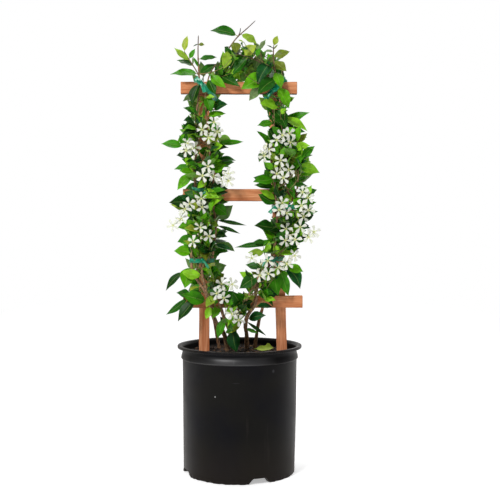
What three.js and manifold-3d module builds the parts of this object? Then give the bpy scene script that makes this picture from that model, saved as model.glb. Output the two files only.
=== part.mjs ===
// Potted star jasmine tied to a ladder trellis, in millimetres.
// X runs to the viewer's right, Y away from the viewer and Z up.
// The origin lies on the floor under the middle of the pot.
import * as THREE from "three";
import { mergeVertices } from "three/addons/utils/BufferGeometryUtils.js";
import Module from "manifold-3d";

const wasm = await Module();
wasm.setup();

// Driving dimensions
const gap = 0.3;
const rimRadius = 127;
const rimHeight = 257;
const lipHigh = 5.6;
const potSides = 24;
const potWall = 2.4;
const floorRise = 12.5;
const footInner = 101;
const bodyRadiusLow = 115;
const bodyRadiusHigh = 116.8;
const shoulderHeight = 230;
const beadHigh = 13;
const notchWide = 43;
const notchNarrow = 25;
const notchHigh = 11;
const notchInside = 14;
const notchDepth = 30;
const notchAngles = [20, 110, 200, 290];
const soilTop = 239;
const soilRings = [0.6];
const soilUneven = 3;
const stemDepth = 45;
const stemSides = 5;
const shootSides = 3;
const uprightWidth = 21;
const uprightFront = 2;
const uprightBack = 12;
const uprightFoot = 60;
const uprightTop = 791;
const leftUprightX = -72.7;
const rightUprightX = 84.2;
const rightUprightZ = 332;
const rightUprightLean = 0.0311;
const rungFront = -10;
const rungBack = uprightFront - gap;
const rungHigh = 24.4;
const nailRadius = 0.9;
const nailReach = 9;
const nailHeadRadius = 2.6;
const nailHeadThick = 1;
const tieHigh = 11;
const tieThick = 0.8;
const tieSlack = 0.6;
const tieRound = 1.15;
const bladeThick = 0.7;
const leafGap = 0.35;
const petalReach = 15.6;
const petalThick = 0.7;
const throatDepth = 2.6;
const throatRadius = 1.2;
const pedicelRadius = 0.8;
const stalkRadius = 0.9;
const hubRadius = 1.7;
const hubBehind = 17;
const hubBelow = 3;

// Colours
const potColour = "#1e1d1d";
const soilColour = "#3a2a1f";
const woodColour = "#b8734f";
const nailColour = "#8c8f92";
const tieColour = "#0c7a5a";
const leafColour = "#3c8a1c";
const flowerColour = "#f1efe2";
const fallenColour = "#a9b64a";

const object = new THREE.Group();

// A closed solid from any closed geometry.
function solidFrom(geometry) {
  geometry.deleteAttribute("normal");
  geometry.deleteAttribute("uv");
  const merged = mergeVertices(geometry, 1e-4);
  return new wasm.Manifold(
    new wasm.Mesh({
      numProp: 3,
      vertProperties: merged.attributes.position.array,
      triVerts: new Uint32Array(merged.index.array),
    }),
  );
}

function geometryFrom(solid) {
  const mesh = solid.getMesh();
  const positions = [];
  for (let start = 0; start < mesh.vertProperties.length; start += mesh.numProp) {
    positions.push(...mesh.vertProperties.subarray(start, start + 3));
  }
  const geometry = new THREE.BufferGeometry();
  geometry.setAttribute("position", new THREE.Float32BufferAttribute(positions, 3));
  geometry.setIndex([...mesh.triVerts]);
  geometry.computeVertexNormals();
  return geometry;
}

function addPiece(name, solid, colour, roughness) {
  const material = new THREE.MeshStandardMaterial({ color: colour, roughness, metalness: 0 });
  const mesh = new THREE.Mesh(geometryFrom(solid), material);
  mesh.name = name;
  object.add(mesh);
}

// A closed solid from corner points and the triangles between them.
function solidFromFaces(points, faces) {
  const geometry = new THREE.BufferGeometry();
  geometry.setAttribute("position", new THREE.Float32BufferAttribute(points.flat(), 3));
  geometry.setIndex(faces.flat());
  return solidFrom(geometry);
}

function joined(solids) {
  return wasm.Manifold.union(solids);
}

// Small vector sums on [x, y, z] lists
function plus(a, b, scale = 1) {
  return [a[0] + b[0] * scale, a[1] + b[1] * scale, a[2] + b[2] * scale];
}

function dot(a, b) {
  return a[0] * b[0] + a[1] * b[1] + a[2] * b[2];
}

function cross(a, b) {
  return [a[1] * b[2] - a[2] * b[1], a[2] * b[0] - a[0] * b[2], a[0] * b[1] - a[1] * b[0]];
}

function unit(a) {
  const length = Math.hypot(...a);
  return [a[0] / length, a[1] / length, a[2] / length];
}

function across(a, axis) {
  return unit(plus(a, axis, -dot(a, axis)));
}

// The direction some degrees away from the first direction towards the second.
function between(first, second, degrees) {
  const angle = (degrees * Math.PI) / 180;
  return plus(first.map((value) => value * Math.cos(angle)), second, Math.sin(angle));
}

// Seeded draws between 0 and 1, the same every time for the same seed.
function drawsFrom(seed) {
  let state = (seed * 7919 + 104729) % 2147483647;
  return () => {
    state = (state * 48271) % 2147483647;
    return state / 2147483647;
  };
}

// Nursery pot: a blow-moulded can with a rolled lip, a bead under it and a raised floor inside a foot ring
const potProfile = [
  [0, floorRise],
  [footInner - 2, floorRise],
  [footInner, 0],
  [bodyRadiusLow - 1.2, 0],
  [bodyRadiusLow, 1.4],
  [bodyRadiusHigh, shoulderHeight],
  [bodyRadiusHigh + 2.4, shoulderHeight + 2.4],
  [bodyRadiusHigh + 2.4, shoulderHeight + beadHigh - 2.4],
  [bodyRadiusHigh + 1.2, shoulderHeight + beadHigh],
  [bodyRadiusHigh + 1.2, rimHeight - lipHigh],
  [rimRadius - 1.4, rimHeight - lipHigh],
  [rimRadius, rimHeight - 1.6],
  [rimRadius - 1.6, rimHeight],
  [rimRadius - 7.4, rimHeight],
  [bodyRadiusHigh - 1, rimHeight - 4.5],
  [bodyRadiusHigh - potWall, shoulderHeight],
  [bodyRadiusLow - potWall, potWall],
  [footInner + 3.2, potWall],
  [footInner + 0.5, floorRise + potWall],
  [0, floorRise + potWall],
];
const potPoints = potProfile.map(([radius, height]) => new THREE.Vector2(radius, height));
const potGeometry = new THREE.LatheGeometry(potPoints, potSides);
potGeometry.rotateX(Math.PI / 2);

// A drain notch is a trapezoid cut straight out through the riser, the foot ring and the wall.
function drainNotch(degrees) {
  const outline = new THREE.Shape();
  outline.moveTo(-notchWide / 2, -1);
  outline.lineTo(notchWide / 2, -1);
  outline.lineTo(notchNarrow / 2, notchHigh);
  outline.lineTo(-notchNarrow / 2, notchHigh);
  const geometry = new THREE.ExtrudeGeometry(outline, { depth: notchDepth, bevelEnabled: false });
  geometry.rotateX(Math.PI / 2);
  geometry.translate(0, -footInner + notchInside, 0);
  geometry.rotateZ((degrees * Math.PI) / 180);
  return solidFrom(geometry);
}
const pot = solidFrom(potGeometry).subtract(joined(notchAngles.map(drainNotch)));
addPiece("pot", pot, potColour, 0.42);

// Stems: lines of [x, y, z, radius] from root to tip, first the one that leaves the mix, then its shoots
const stems = [
  {
    name: "stem_left_main",
    lines: [
      [
        [-24, 15, 240, 5.2],
        [-31, 6, 279, 4.9],
        [-50, -9, 304, 4.4],
        [-58, -19, 335, 4.1],
        [-64, -20, 356, 3.8],
        [-74, -19, 374, 3.1],
        [-86, -18, 390, 2.9],
        [-96, -17, 406, 2.8],
        [-98, -16, 427, 2.7],
        [-97, -18, 455, 2.6],
        [-91, -20, 491, 2.5],
        [-96, -18, 530, 2.4],
        [-88, -17, 571, 2.3],
        [-93, -19, 613, 2.2],
        [-84, -18, 664, 2.1],
        [-89, -17, 712, 2],
        [-84, -17, 750, 1.9],
        [-80, -17, 780, 1.8],
        [-83, -17, 822, 1.5],
        [-84, -17, 850, 1.2],
        [-83, -17, 884, 0.9],
      ],
      [
        [-64, -20, 356, 3],
        [-69, -25, 376, 2.8],
        [-75, -28, 398, 2.6],
        [-76, -27, 427, 2.5],
        [-70, -28, 460, 2.4],
        [-64, -29, 500, 2.3],
        [-68, -28, 540, 2.2],
        [-72, -25, 571, 2.1],
        [-62, -29, 620, 2],
        [-58, -27, 664, 1.9],
        [-66, -25, 716, 1.8],
        [-70, -22, 750, 1.7],
        [-67, -20, 780, 1.6],
        [-60, -21, 808, 1.3],
        [-46, -20, 827, 1],
      ],
      [
        [-81, -17, 800, 1.3],
        [-88, -18, 814, 1.2],
        [-97, -17, 828, 1.1],
        [-105, -16, 841, 1],
        [-112, -14, 852, 0.9],
      ],
      [
        [-62, -19, 346, 1.6],
        [-80, -23, 350, 1.4],
        [-98, -22, 354, 1.2],
        [-111, -18, 358, 1],
      ],
      [
        [-93, -17, 401, 1.5],
        [-104, -21, 405, 1.3],
        [-115, -23, 409, 1],
      ],
      [
        [-93, -19, 614, 1.5],
        [-105, -22, 630, 1.4],
        [-112, -22, 648, 1.2],
        [-113, -20, 664, 1],
      ],
    ],
  },
  {
    name: "stem_left_inner",
    lines: [
      [
        [-12, 25, 240, 4],
        [-17, 14, 275, 3.8],
        [-27, -7, 300, 3.5],
        [-34, -18, 320, 3.4],
        [-40, -19, 340, 3.3],
        [-46, -19, 362, 3.1],
        [-53, -18, 400, 2.8],
        [-56, -16, 427, 2.7],
        [-52, -18, 465, 2.5],
        [-47, -18, 500, 2.4],
        [-53, -16, 540, 2.3],
        [-57, -15, 571, 2.2],
        [-47, -18, 618, 2],
        [-44, -16, 660, 1.8],
        [-51, -14, 700, 1.5],
        [-54, -8, 738, 1.1],
      ],
    ],
  },
  {
    name: "stem_left_rear",
    lines: [
      [
        [-42, 36, 240, 3.8],
        [-52, 30, 300, 3.4],
        [-68, 24, 380, 3],
        [-75, 20, 427, 2.8],
        [-80, 24, 500, 2.5],
        [-72, 20, 571, 2.3],
        [-82, 24, 640, 2.1],
        [-74, 22, 710, 1.9],
        [-70, 19, 770, 1.8],
        [-60, 16, 795, 1.7],
        [-48, 8, 812, 1.6],
        [-38, -2, 832, 1.5],
        [-28, -9, 850, 1.4],
        [-14, -13, 870, 1.3],
        [-3, -15, 883, 1.2],
        [14, -16, 897, 1],
        [32, -16, 914, 0.8],
      ],
      [
        [-3, -15, 883, 1],
        [1, -14, 890, 0.9],
        [2, -13, 900, 0.8],
      ],
    ],
  },
  {
    name: "stem_cross_front",
    lines: [
      [
        [-9, 5, 240, 4.2],
        [-12, -4, 275, 4],
        [-15, -15, 300, 3.8],
        [-9, -21, 320, 3.6],
        [1, -25, 337, 3.4],
        [15, -27, 352, 3.2],
        [28, -29, 376, 3],
        [45, -28, 410, 2.8],
        [64, -24, 432, 2.7],
        [72, -24, 462, 2.5],
        [75, -25, 501, 2.4],
        [76, -24, 532, 2.3],
        [70, -27, 590, 2.1],
        [62, -25, 640, 2],
        [70, -25, 694, 1.9],
        [67, -23, 734, 1.8],
        [65, -20, 771, 1.6],
        [57, -18, 803, 1.4],
        [46, -17, 834, 1.1],
        [40, -18, 856, 0.9],
      ],
      [
        [50, -17, 823, 1.2],
        [38, -22, 832, 1.1],
        [22, -25, 838, 1],
        [4, -26, 842, 0.9],
        [-8, -25, 846, 0.8],
      ],
      [
        [72, -24, 461, 1.4],
        [60, -20, 466, 1.2],
        [48, -17, 470, 1],
      ],
    ],
  },
  {
    name: "stem_right_main",
    lines: [
      [
        [15, 35, 240, 5],
        [15, 15, 275, 4.7],
        [11, -5, 297, 4.4],
        [15, -18, 317, 4.2],
        [27, -19, 334, 4],
        [34, -18, 348, 3.8],
        [32, -18, 364, 3.4],
        [34, -17, 382, 3.1],
        [50, -16, 408, 2.9],
        [71, -15, 432, 2.8],
        [84, -16, 462, 2.7],
        [94, -17, 501, 2.6],
        [98, -16, 532, 2.5],
        [101, -18, 572, 2.3],
        [97, -18, 623, 2.2],
        [88, -17, 673, 2],
        [84, -18, 718, 1.9],
        [82, -17, 750, 1.8],
        [79, -16, 779, 1.7],
        [71, -17, 815, 1.4],
        [68, -17, 842, 1.2],
        [69, -17, 864, 1],
      ],
      [
        [94, -17, 501, 2],
        [107, -22, 530, 1.9],
        [116, -23, 565, 1.7],
        [119, -22, 605, 1.5],
        [112, -20, 645, 1.1],
      ],
      [
        [50, -16, 408, 1.6],
        [63, -22, 410, 1.4],
        [76, -25, 412, 1.3],
        [96, -25, 416, 1],
      ],
    ],
  },
  {
    name: "stem_right_rear",
    lines: [
      [
        [31, 43, 240, 3.8],
        [40, 36, 300, 3.4],
        [62, 26, 380, 3],
        [80, 20, 432, 2.8],
        [94, 24, 480, 2.6],
        [92, 20, 532, 2.4],
        [104, 26, 600, 2.2],
        [98, 24, 660, 2],
        [92, 22, 716, 1.8],
        [80, 19, 771, 1.6],
        [84, 14, 800, 1.4],
        [92, 4, 826, 1],
      ],
    ],
  },
];

// The stem that leaves the mix starts straight down in it.
function planted(points) {
  const [x, y, z, radius] = points[0];
  return [[x, y, z - stemDepth, radius], ...points];
}

// A round stem of few sides along its points.
function sweptStem(points, sides) {
  const corners = [];
  points.forEach((point, index) => {
    const before = points[Math.max(index - 1, 0)];
    const after = points[Math.min(index + 1, points.length - 1)];
    const forward = unit([after[0] - before[0], after[1] - before[1], after[2] - before[2]]);
    const right = across([1, 0, 0.001], forward);
    const back = cross(forward, right);
    for (let side = 0; side < sides; side += 1) {
      corners.push(plus(point, between(right, back, (side * 360) / sides), point[3]));
    }
  });
  const faces = [];
  for (let ring = 0; ring < points.length - 1; ring += 1) {
    for (let side = 0; side < sides; side += 1) {
      const here = ring * sides + side;
      const next = ring * sides + ((side + 1) % sides);
      faces.push([here, next, next + sides], [here, next + sides, here + sides]);
    }
  }
  const last = (points.length - 1) * sides;
  for (let side = 1; side < sides - 1; side += 1) {
    faces.push([0, side + 1, side], [last, last + side, last + side + 1]);
  }
  return solidFromFaces(corners, faces);
}

for (const stem of stems) {
  const [main, ...shoots] = stem.lines;
  stem.wood = [sweptStem(planted(main), stemSides), ...shoots.map((shoot) => sweptStem(shoot, shootSides))];
  stem.growth = [...stem.wood];
}

// The point, direction and radius of a stem's line where it first passes a height.
function siteAt(line, height) {
  let index = 0;
  while (index < line.length - 2 && line[index + 1][2] < height) {
    index += 1;
  }
  const from = line[index];
  const to = line[index + 1];
  const share = Math.min(Math.max((height - from[2]) / (to[2] - from[2]), 0), 1);
  const step = [to[0] - from[0], to[1] - from[1], to[2] - from[2]];
  return {
    point: plus(from, step, share),
    forward: unit(step),
    radius: from[3] + (to[3] - from[3]) * share,
  };
}

// Trellis: two uprights behind three rungs, each joint nailed from the back
function rightUprightAt(height) {
  return rightUprightX - (height - rightUprightZ) * rightUprightLean;
}

const rungs = [
  { name: "trellis_rung_bottom", low: 332.8, left: -115, right: 128.6 },
  { name: "trellis_rung_middle", low: 550.4, left: -115.2, right: 121 },
  { name: "trellis_rung_top", low: 767.8, left: -119.5, right: 117 },
];
const uprights = [
  { name: "trellis_upright_left", side: "left", centreAt: () => leftUprightX, lean: 0 },
  { name: "trellis_upright_right", side: "right", centreAt: rightUprightAt, lean: rightUprightLean },
];

function board(width, depth, high, centre, lean) {
  const geometry = new THREE.BoxGeometry(width, depth, high);
  geometry.rotateY(-Math.atan(lean));
  geometry.translate(...centre);
  return solidFrom(geometry);
}

function rod(radius, from, to, x, z) {
  const geometry = new THREE.CylinderGeometry(radius, radius, to - from, 4);
  geometry.translate(x, (from + to) / 2, z);
  return solidFrom(geometry);
}

const uprightMiddle = (uprightFront + uprightBack) / 2;
const uprightDeep = uprightBack - uprightFront;
for (const upright of uprights) {
  const middle = (uprightFoot + uprightTop) / 2;
  const length = (uprightTop - uprightFoot) * Math.hypot(1, upright.lean);
  const centre = [upright.centreAt(middle), uprightMiddle, middle];
  upright.solid = board(uprightWidth, uprightDeep, length, centre, upright.lean);
  const room = 2 * gap;
  upright.socket = board(uprightWidth + room, uprightDeep + room, length + room, centre, upright.lean);
}
for (const rung of rungs) {
  const centre = [(rung.left + rung.right) / 2, (rungFront + rungBack) / 2, rung.low + rungHigh / 2];
  rung.solid = board(rung.right - rung.left, rungBack - rungFront, rungHigh, centre, 0);
  for (const upright of uprights) {
    const height = rung.low + rungHigh / 2;
    const x = upright.centreAt(height);
    const tip = uprightFront - nailReach;
    const hole = rod(nailRadius + gap, tip - gap, uprightBack + 1, x, height);
    rung.solid = rung.solid.subtract(hole);
    upright.solid = upright.solid.subtract(hole);
    const shank = rod(nailRadius, tip, uprightBack + 1, x, height);
    const headFrom = uprightBack + gap;
    const head = rod(nailHeadRadius, headFrom, headFrom + nailHeadThick, x, height);
    const nail = joined([shank, head]);
    addPiece(`nail_${upright.side}_${rung.name.split("_").pop()}`, nail, nailColour, 0.5);
  }
}
for (const upright of uprights) {
  addPiece(upright.name, upright.solid, woodColour, 0.72);
}
for (const rung of rungs) {
  addPiece(rung.name, rung.solid, woodColour, 0.72);
}

// Potting mix: an uneven plug above the pot's raised floor, with plain holes for what stands in it
const soilBottom = floorRise + potWall + gap;
const soilRadiusLow = bodyRadiusLow - potWall - gap - 0.2;
const soilRadiusHigh = bodyRadiusHigh - potWall - gap;
const soilDraw = drawsFrom(5);
const soilCorners = [[0, 0, soilBottom]];
for (let side = 0; side < potSides; side += 1) {
  const angle = (side * 2 * Math.PI) / potSides;
  soilCorners.push([soilRadiusLow * Math.sin(angle), -soilRadiusLow * Math.cos(angle), soilBottom]);
}
for (const share of [1, ...soilRings.toReversed()]) {
  for (let side = 0; side < potSides; side += 1) {
    const angle = (side * 2 * Math.PI) / potSides;
    const radius = soilRadiusHigh * share;
    const height = soilTop + (soilDraw() - 0.5) * soilUneven + (1 - share) * 2;
    soilCorners.push([radius * Math.sin(angle), -radius * Math.cos(angle), height]);
  }
}
soilCorners.push([0, 0, soilTop + 2]);
const soilFaces = [];
for (let side = 0; side < potSides; side += 1) {
  const next = (side + 1) % potSides;
  soilFaces.push([0, 1 + next, 1 + side]);
  for (let ring = 0; ring < soilRings.length + 1; ring += 1) {
    const low = 1 + ring * potSides;
    const high = low + potSides;
    soilFaces.push([low + side, low + next, high + next], [low + side, high + next, high + side]);
  }
  const inner = 1 + (soilRings.length + 1) * potSides;
  soilFaces.push([inner + side, inner + next, inner + potSides]);
}
let soil = solidFromFaces(soilCorners, soilFaces);
for (const upright of uprights) {
  soil = soil.subtract(upright.socket);
}
for (const stem of stems) {
  const bed = planted(stem.lines[0]).slice(0, 3);
  const wider = bed.map(([x, y, z, radius]) => [x, y, z, (radius + gap) / Math.cos(Math.PI / stemSides)]);
  wider[0][2] -= gap;
  soil = soil.subtract(sweptStem(wider, stemSides));
}
addPiece("potting_mix", soil, soilColour, 0.95);

// Everything placed so far, for keeping leaves and flowers clear of it
const placed = [];

function boxOf(solid) {
  const { min, max } = solid.boundingBox();
  return { min: [...min], max: [...max] };
}

function place(solid, owner = "") {
  placed.push({ solid, owner, box: boxOf(solid) });
}

function isClear(solid, skip = () => false, least = leafGap) {
  const { min, max } = boxOf(solid);
  return !placed.some(
    (other) =>
      !skip(other) &&
      [0, 1, 2].every((axis) => other.box.min[axis] < max[axis] + least) &&
      [0, 1, 2].every((axis) => other.box.max[axis] > min[axis] - least) &&
      solid.minGap(other.solid, least) < least,
  );
}

place(pot);
place(soil);
for (const upright of uprights) {
  place(upright.solid);
}
for (const rung of rungs) {
  place(rung.solid);
}
for (const stem of stems) {
  stem.wood.forEach((wood) => place(wood, stem.name));
}

// Green stretch ties: a band drawn tight round whatever passes through its plane, which may slant across
// the viewer's sight or tilt up towards the back, and whose middle lies at [x, z] where y is 0
const ties = [
  { name: "tie_left_lower", post: 0, centre: [-76, 429.5], slant: 0, tilt: 0, half: 0, holds: /left/ },
  { name: "tie_left_upper", post: 0, centre: [-73, 588], slant: 0, tilt: 30, half: 0, holds: /left/ },
  { name: "tie_right_lower", post: 1, centre: [78, 433], slant: 0, tilt: 0, half: 0, holds: /right|cross/ },
  { name: "tie_right_middle", post: 1, centre: [85, 538], slant: 0, tilt: 0, half: 0, holds: /right|cross/ },
  { name: "tie_left_top", post: 0, centre: [-71, 780], slant: -45, tilt: 0, half: 26, holds: /left/ },
  { name: "tie_right_top", post: 1, centre: [75, 780], slant: 45, tilt: 0, half: 26, holds: /right|cross/ },
];

const levelTieHeights = [-tieHigh / 2 - 1, 0, tieHigh / 2 + 1];
const slantedTieHeights = [-24, -16, -8, 0, 8, 16, 24];

// The outermost of some points in a plane, in turning order.
function hullOf(points) {
  const sorted = points.toSorted((a, b) => a[0] - b[0] || a[1] - b[1]);
  const turn = (o, a, b) => (a[0] - o[0]) * (b[1] - o[1]) - (a[1] - o[1]) * (b[0] - o[0]);
  const halfOf = (list) => {
    const chain = [];
    for (const point of list) {
      while (chain.length > 1 && turn(chain.at(-2), chain.at(-1), point) <= 0.5) {
        chain.pop();
      }
      chain.push(point);
    }
    return chain.slice(0, -1);
  };
  return [...halfOf(sorted), ...halfOf(sorted.toReversed())];
}

// What the tie holds, as points in its plane: u runs along the slant and v away from the viewer.
function heldBy(tie) {
  const slant = (tie.slant * Math.PI) / 180;
  const tilt = (tie.tilt * Math.PI) / 180;
  const held = [];
  const turns = [30, 90, 150, 210, 270, 330].map((degrees) => (degrees * Math.PI) / 180);
  const reach = tieHigh / 2;
  const spread = (half, angle) => (half + tieSlack) / Math.cos(angle) + reach * Math.abs(Math.tan(angle));
  for (const shift of tie.slant || tie.tilt ? slantedTieHeights : levelTieHeights) {
    const height = tie.centre[1] + shift;
    for (const stem of stems) {
      if (!tie.holds.test(stem.name)) {
        continue;
      }
      for (const line of stem.lines) {
        if (line[0][2] > height - 20 || line.at(-1)[2] < height + 20) {
          continue;
        }
        const { point, radius } = siteAt(line, height);
        const u = (point[0] - tie.centre[0]) / Math.cos(slant);
        const v = point[1] / Math.cos(tilt);
        for (const turn of turns) {
          held.push([
            u + spread(radius * tieRound, slant) * Math.cos(turn),
            v + spread(radius * tieRound, tilt) * Math.sin(turn),
          ]);
        }
      }
    }
    const middle = (uprights[tie.post].centreAt(height) - tie.centre[0]) / Math.cos(slant);
    for (const side of [-1, 1]) {
      const u = middle + side * spread(uprightWidth / 2, slant);
      const v = uprightMiddle / Math.cos(tilt);
      held.push([u, v - spread(uprightDeep / 2, tilt)], [u, v + spread(uprightDeep / 2, tilt)]);
    }
  }
  if (tie.half) {
    held.push([-tie.half, rungFront - tieSlack], [tie.half, rungFront - tieSlack]);
    held.push([-tie.half, uprightBack], [tie.half, uprightBack]);
  }
  return held;
}

for (const tie of ties) {
  const inner = hullOf(heldBy(tie));
  const middle = [
    inner.reduce((sum, point) => sum + point[0], 0) / inner.length,
    inner.reduce((sum, point) => sum + point[1], 0) / inner.length,
  ];
  const outer = inner.map(([u, v]) => {
    const away = Math.hypot(u - middle[0], v - middle[1]);
    const grown = (away + tieThick * 1.2) / away;
    return [middle[0] + (u - middle[0]) * grown, middle[1] + (v - middle[1]) * grown];
  });
  const outline = new THREE.Shape(outer.map(([u, v]) => new THREE.Vector2(u, v)));
  outline.holes.push(new THREE.Path(inner.map(([u, v]) => new THREE.Vector2(u, v))));
  const geometry = new THREE.ExtrudeGeometry(outline, { depth: tieHigh, bevelEnabled: false });
  geometry.translate(0, 0, -tieHigh / 2);
  geometry.rotateX((tie.tilt * Math.PI) / 180);
  geometry.rotateY((-tie.slant * Math.PI) / 180);
  geometry.translate(tie.centre[0], 0, tie.centre[1]);
  const band = solidFrom(geometry);
  addPiece(tie.name, band, tieColour, 0.5);
  place(band);
}

// Cymes: each leaves its stem on a short stalk and forks to its flowers, whose middles are given as [x, z]
const cymes = [
  { on: [0, 1], from: 676, depth: -53, flowers: [[-74, 690], [-51, 705], [-61, 673], [-44, 686]] },
  { on: [0, 0], from: 640, depth: -48, flowers: [[-103, 664], [-106, 648], [-90, 656]] },
  { on: [0, 1], from: 598, depth: -56, flowers: [[-63, 617], [-73, 598], [-52, 598]] },
  { on: [1, 0], from: 600, depth: -46, flowers: [[-23, 603], [-22, 588], [-35, 590]] },
  { on: [0, 0], from: 540, depth: -50, flowers: [[-100, 543], [-76, 554], [-74, 537]] },
  { on: [0, 0], from: 500, depth: -48, flowers: [[-133, 500], [-116, 514], [-108, 533]] },
  { on: [0, 1], from: 470, depth: -57, flowers: [[-78, 497], [-60, 479], [-92, 468], [-80, 466]] },
  { on: [1, 0], from: 366, depth: -47, flowers: [[-36, 384], [-46, 365], [-31, 356], [-14, 384]] },
  { on: [3, 0], from: 322, depth: -46, flowers: [[-15, 324], [-2, 312]] },
  { on: [4, 0], from: 664, depth: -48, flowers: [[99, 683], [74, 670], [101, 664], [85, 679]] },
  { on: [3, 0], from: 634, depth: -50, flowers: [[49, 639], [58, 652]] },
  { on: [3, 0], from: 606, depth: -54, flowers: [[81, 629], [98, 611], [74, 603], [86, 594]] },
  { on: [4, 1], from: 572, depth: -48, flowers: [[125, 567], [136, 556]] },
  { on: [3, 0], from: 560, depth: -54, flowers: [[85, 545], [78, 531], [94, 525]] },
  { on: [4, 1], from: 534, depth: -50, flowers: [[122, 540], [137, 531], [128, 518]] },
  { on: [4, 0], from: 476, depth: -50, flowers: [[92, 494], [91, 470], [110, 472], [121, 497]] },
  { on: [4, 0], from: 492, depth: -44, flowers: [[138, 477], [148, 488]] },
  { on: [3, 0], from: 414, depth: -55, flowers: [[24, 436], [56, 430], [40, 401], [57, 405]] },
  { on: [4, 0], from: 440, depth: -52, flowers: [[94, 424], [110, 441], [76, 416]] },
  { on: [2, 0], from: 636, depth: 54, flowers: [[-96, 650], [-76, 660], [-80, 636]] },
  { on: [5, 0], from: 582, depth: 56, flowers: [[112, 598], [92, 604], [100, 580]] },
];
const petalCount = 5;
const petalCorners = [
  { turn: -15, reach: 0.96 },
  { turn: 17, reach: 0.84 },
  { turn: 37, reach: 0.22 },
];
const flowerShifts = [0, -8, 8, -15, 15, -22, 22];
const flowerSpins = [0, 24, 48];
const flowerSplay = 0.016;
const flowerLean = 0.7;
const flowerRoot = 5;
const stalkGap = 0.2;
const stalkStarts = [0, 6, -6, 12, -12, 18, -18, 24, -24].flatMap((rise) => [
  [rise, 0.1],
  [rise, 0.5],
]);

// A flower: five slantwise cut petals round a shallow funnel, on a thin tube that runs back to the hub.
function flowerSolid(middle, facing, spin, hub) {
  const up = across([0, 0, 1], facing);
  const side = cross(facing, up);
  const pointAt = (degrees, reach) => plus(middle, between(up, side, degrees), reach);
  const rim = [];
  for (let petal = 0; petal < petalCount; petal += 1) {
    for (const { turn, reach } of petalCorners) {
      rim.push(pointAt(spin + (petal * 360) / petalCount + turn, petalReach * reach));
    }
  }
  const count = rim.length;
  const corners = [...rim, ...rim.map((point) => plus(point, facing, -petalThick)), plus(middle, facing, -1)];
  const faces = [];
  for (let index = 0; index < count; index += 1) {
    const next = (index + 1) % count;
    faces.push([2 * count, index, next]);
    faces.push([count + index, count + next, next], [count + index, next, index]);
  }
  const throat = plus(middle, facing, -throatDepth);
  const stalk = unit(plus(throat, hub, -1));
  const tube = [
    { centre: throat, forward: unit(plus(facing, stalk)), radius: throatRadius },
    { centre: hub, forward: stalk, radius: pedicelRadius },
  ];
  const tubeStart = corners.length;
  let first = unit(plus(pointAt(spin + 37, 1), middle, -1));
  for (const { centre, forward, radius } of tube) {
    first = across(first, forward);
    const second = cross(forward, first);
    for (const degrees of [0, 120, 240]) {
      corners.push(plus(centre, between(first, second, degrees), radius));
    }
  }
  for (let third = 0; third < 3; third += 1) {
    const next = (third + 1) % 3;
    for (let index = third * 5; index < third * 5 + 5; index += 1) {
      faces.push([tubeStart + third, count + ((index + 1) % count), count + index]);
    }
    faces.push([tubeStart + third, tubeStart + next, count + ((third * 5 + 5) % count)]);
    faces.push([tubeStart + third, tubeStart + 3 + next, tubeStart + next]);
    faces.push([tubeStart + third, tubeStart + 3 + third, tubeStart + 3 + next]);
  }
  faces.push([tubeStart + 3, tubeStart + 5, tubeStart + 4]);
  return solidFromFaces(corners, faces);
}

function hubOf(cyme) {
  const count = cyme.flowers.length;
  const x = cyme.flowers.reduce((sum, flower) => sum + flower[0], 0) / count;
  const z = cyme.flowers.reduce((sum, flower) => sum + flower[1], 0) / count;
  return [x, cyme.depth - Math.sign(cyme.depth) * hubBehind, z - hubBelow];
}

cymes.forEach((cyme, cymeIndex) => {
  const name = `cyme_${String(cymeIndex + 1).padStart(2, "0")}`;
  const stem = stems[cyme.on[0]];
  const hub = hubOf(cyme);
  const growth = [];
  for (const [rise, extra] of stalkStarts) {
    const site = siteAt(stem.lines[cyme.on[1]], cyme.from + rise);
    const outward = across(plus(hub, site.point, -1), site.forward);
    const start = plus(site.point, outward, site.radius + gap + extra);
    const stalk = sweptStem([[...start, stalkRadius], [...hub, hubRadius]], shootSides);
    if (isClear(stalk, (other) => other.owner === stem.name) && isClear(stalk, () => false, stalkGap)) {
      place(stalk, `${name}_stalk`);
      growth.push(stalk);
      break;
    }
  }
  cyme.flowers.forEach(([x, z], flowerIndex) => {
    const draw = drawsFrom(cymeIndex * 20 + flowerIndex + 1000);
    const facing = unit([
      (x - hub[0]) * flowerSplay + (draw() - 0.5) * flowerLean,
      Math.sign(cyme.depth),
      (z - hub[2]) * flowerSplay + (draw() - 0.4) * flowerLean,
    ]);
    const spin = (draw() * 360) / petalCount;
    for (const shift of flowerShifts) {
      for (const turn of flowerSpins) {
        const middle = [x, cyme.depth + shift, z];
        const whole = flowerSolid(middle, facing, spin + turn, hub);
        const away = unit(plus(middle, hub, -1));
        const free = flowerSolid(middle, facing, spin + turn, plus(hub, away, flowerRoot));
        if (isClear(free) && isClear(whole, (other) => other.owner.startsWith(name))) {
          place(free, name);
          growth.push(whole);
          return;
        }
      }
    }
  });
  addPiece(name, joined(growth), flowerColour, 0.5);
});

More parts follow.
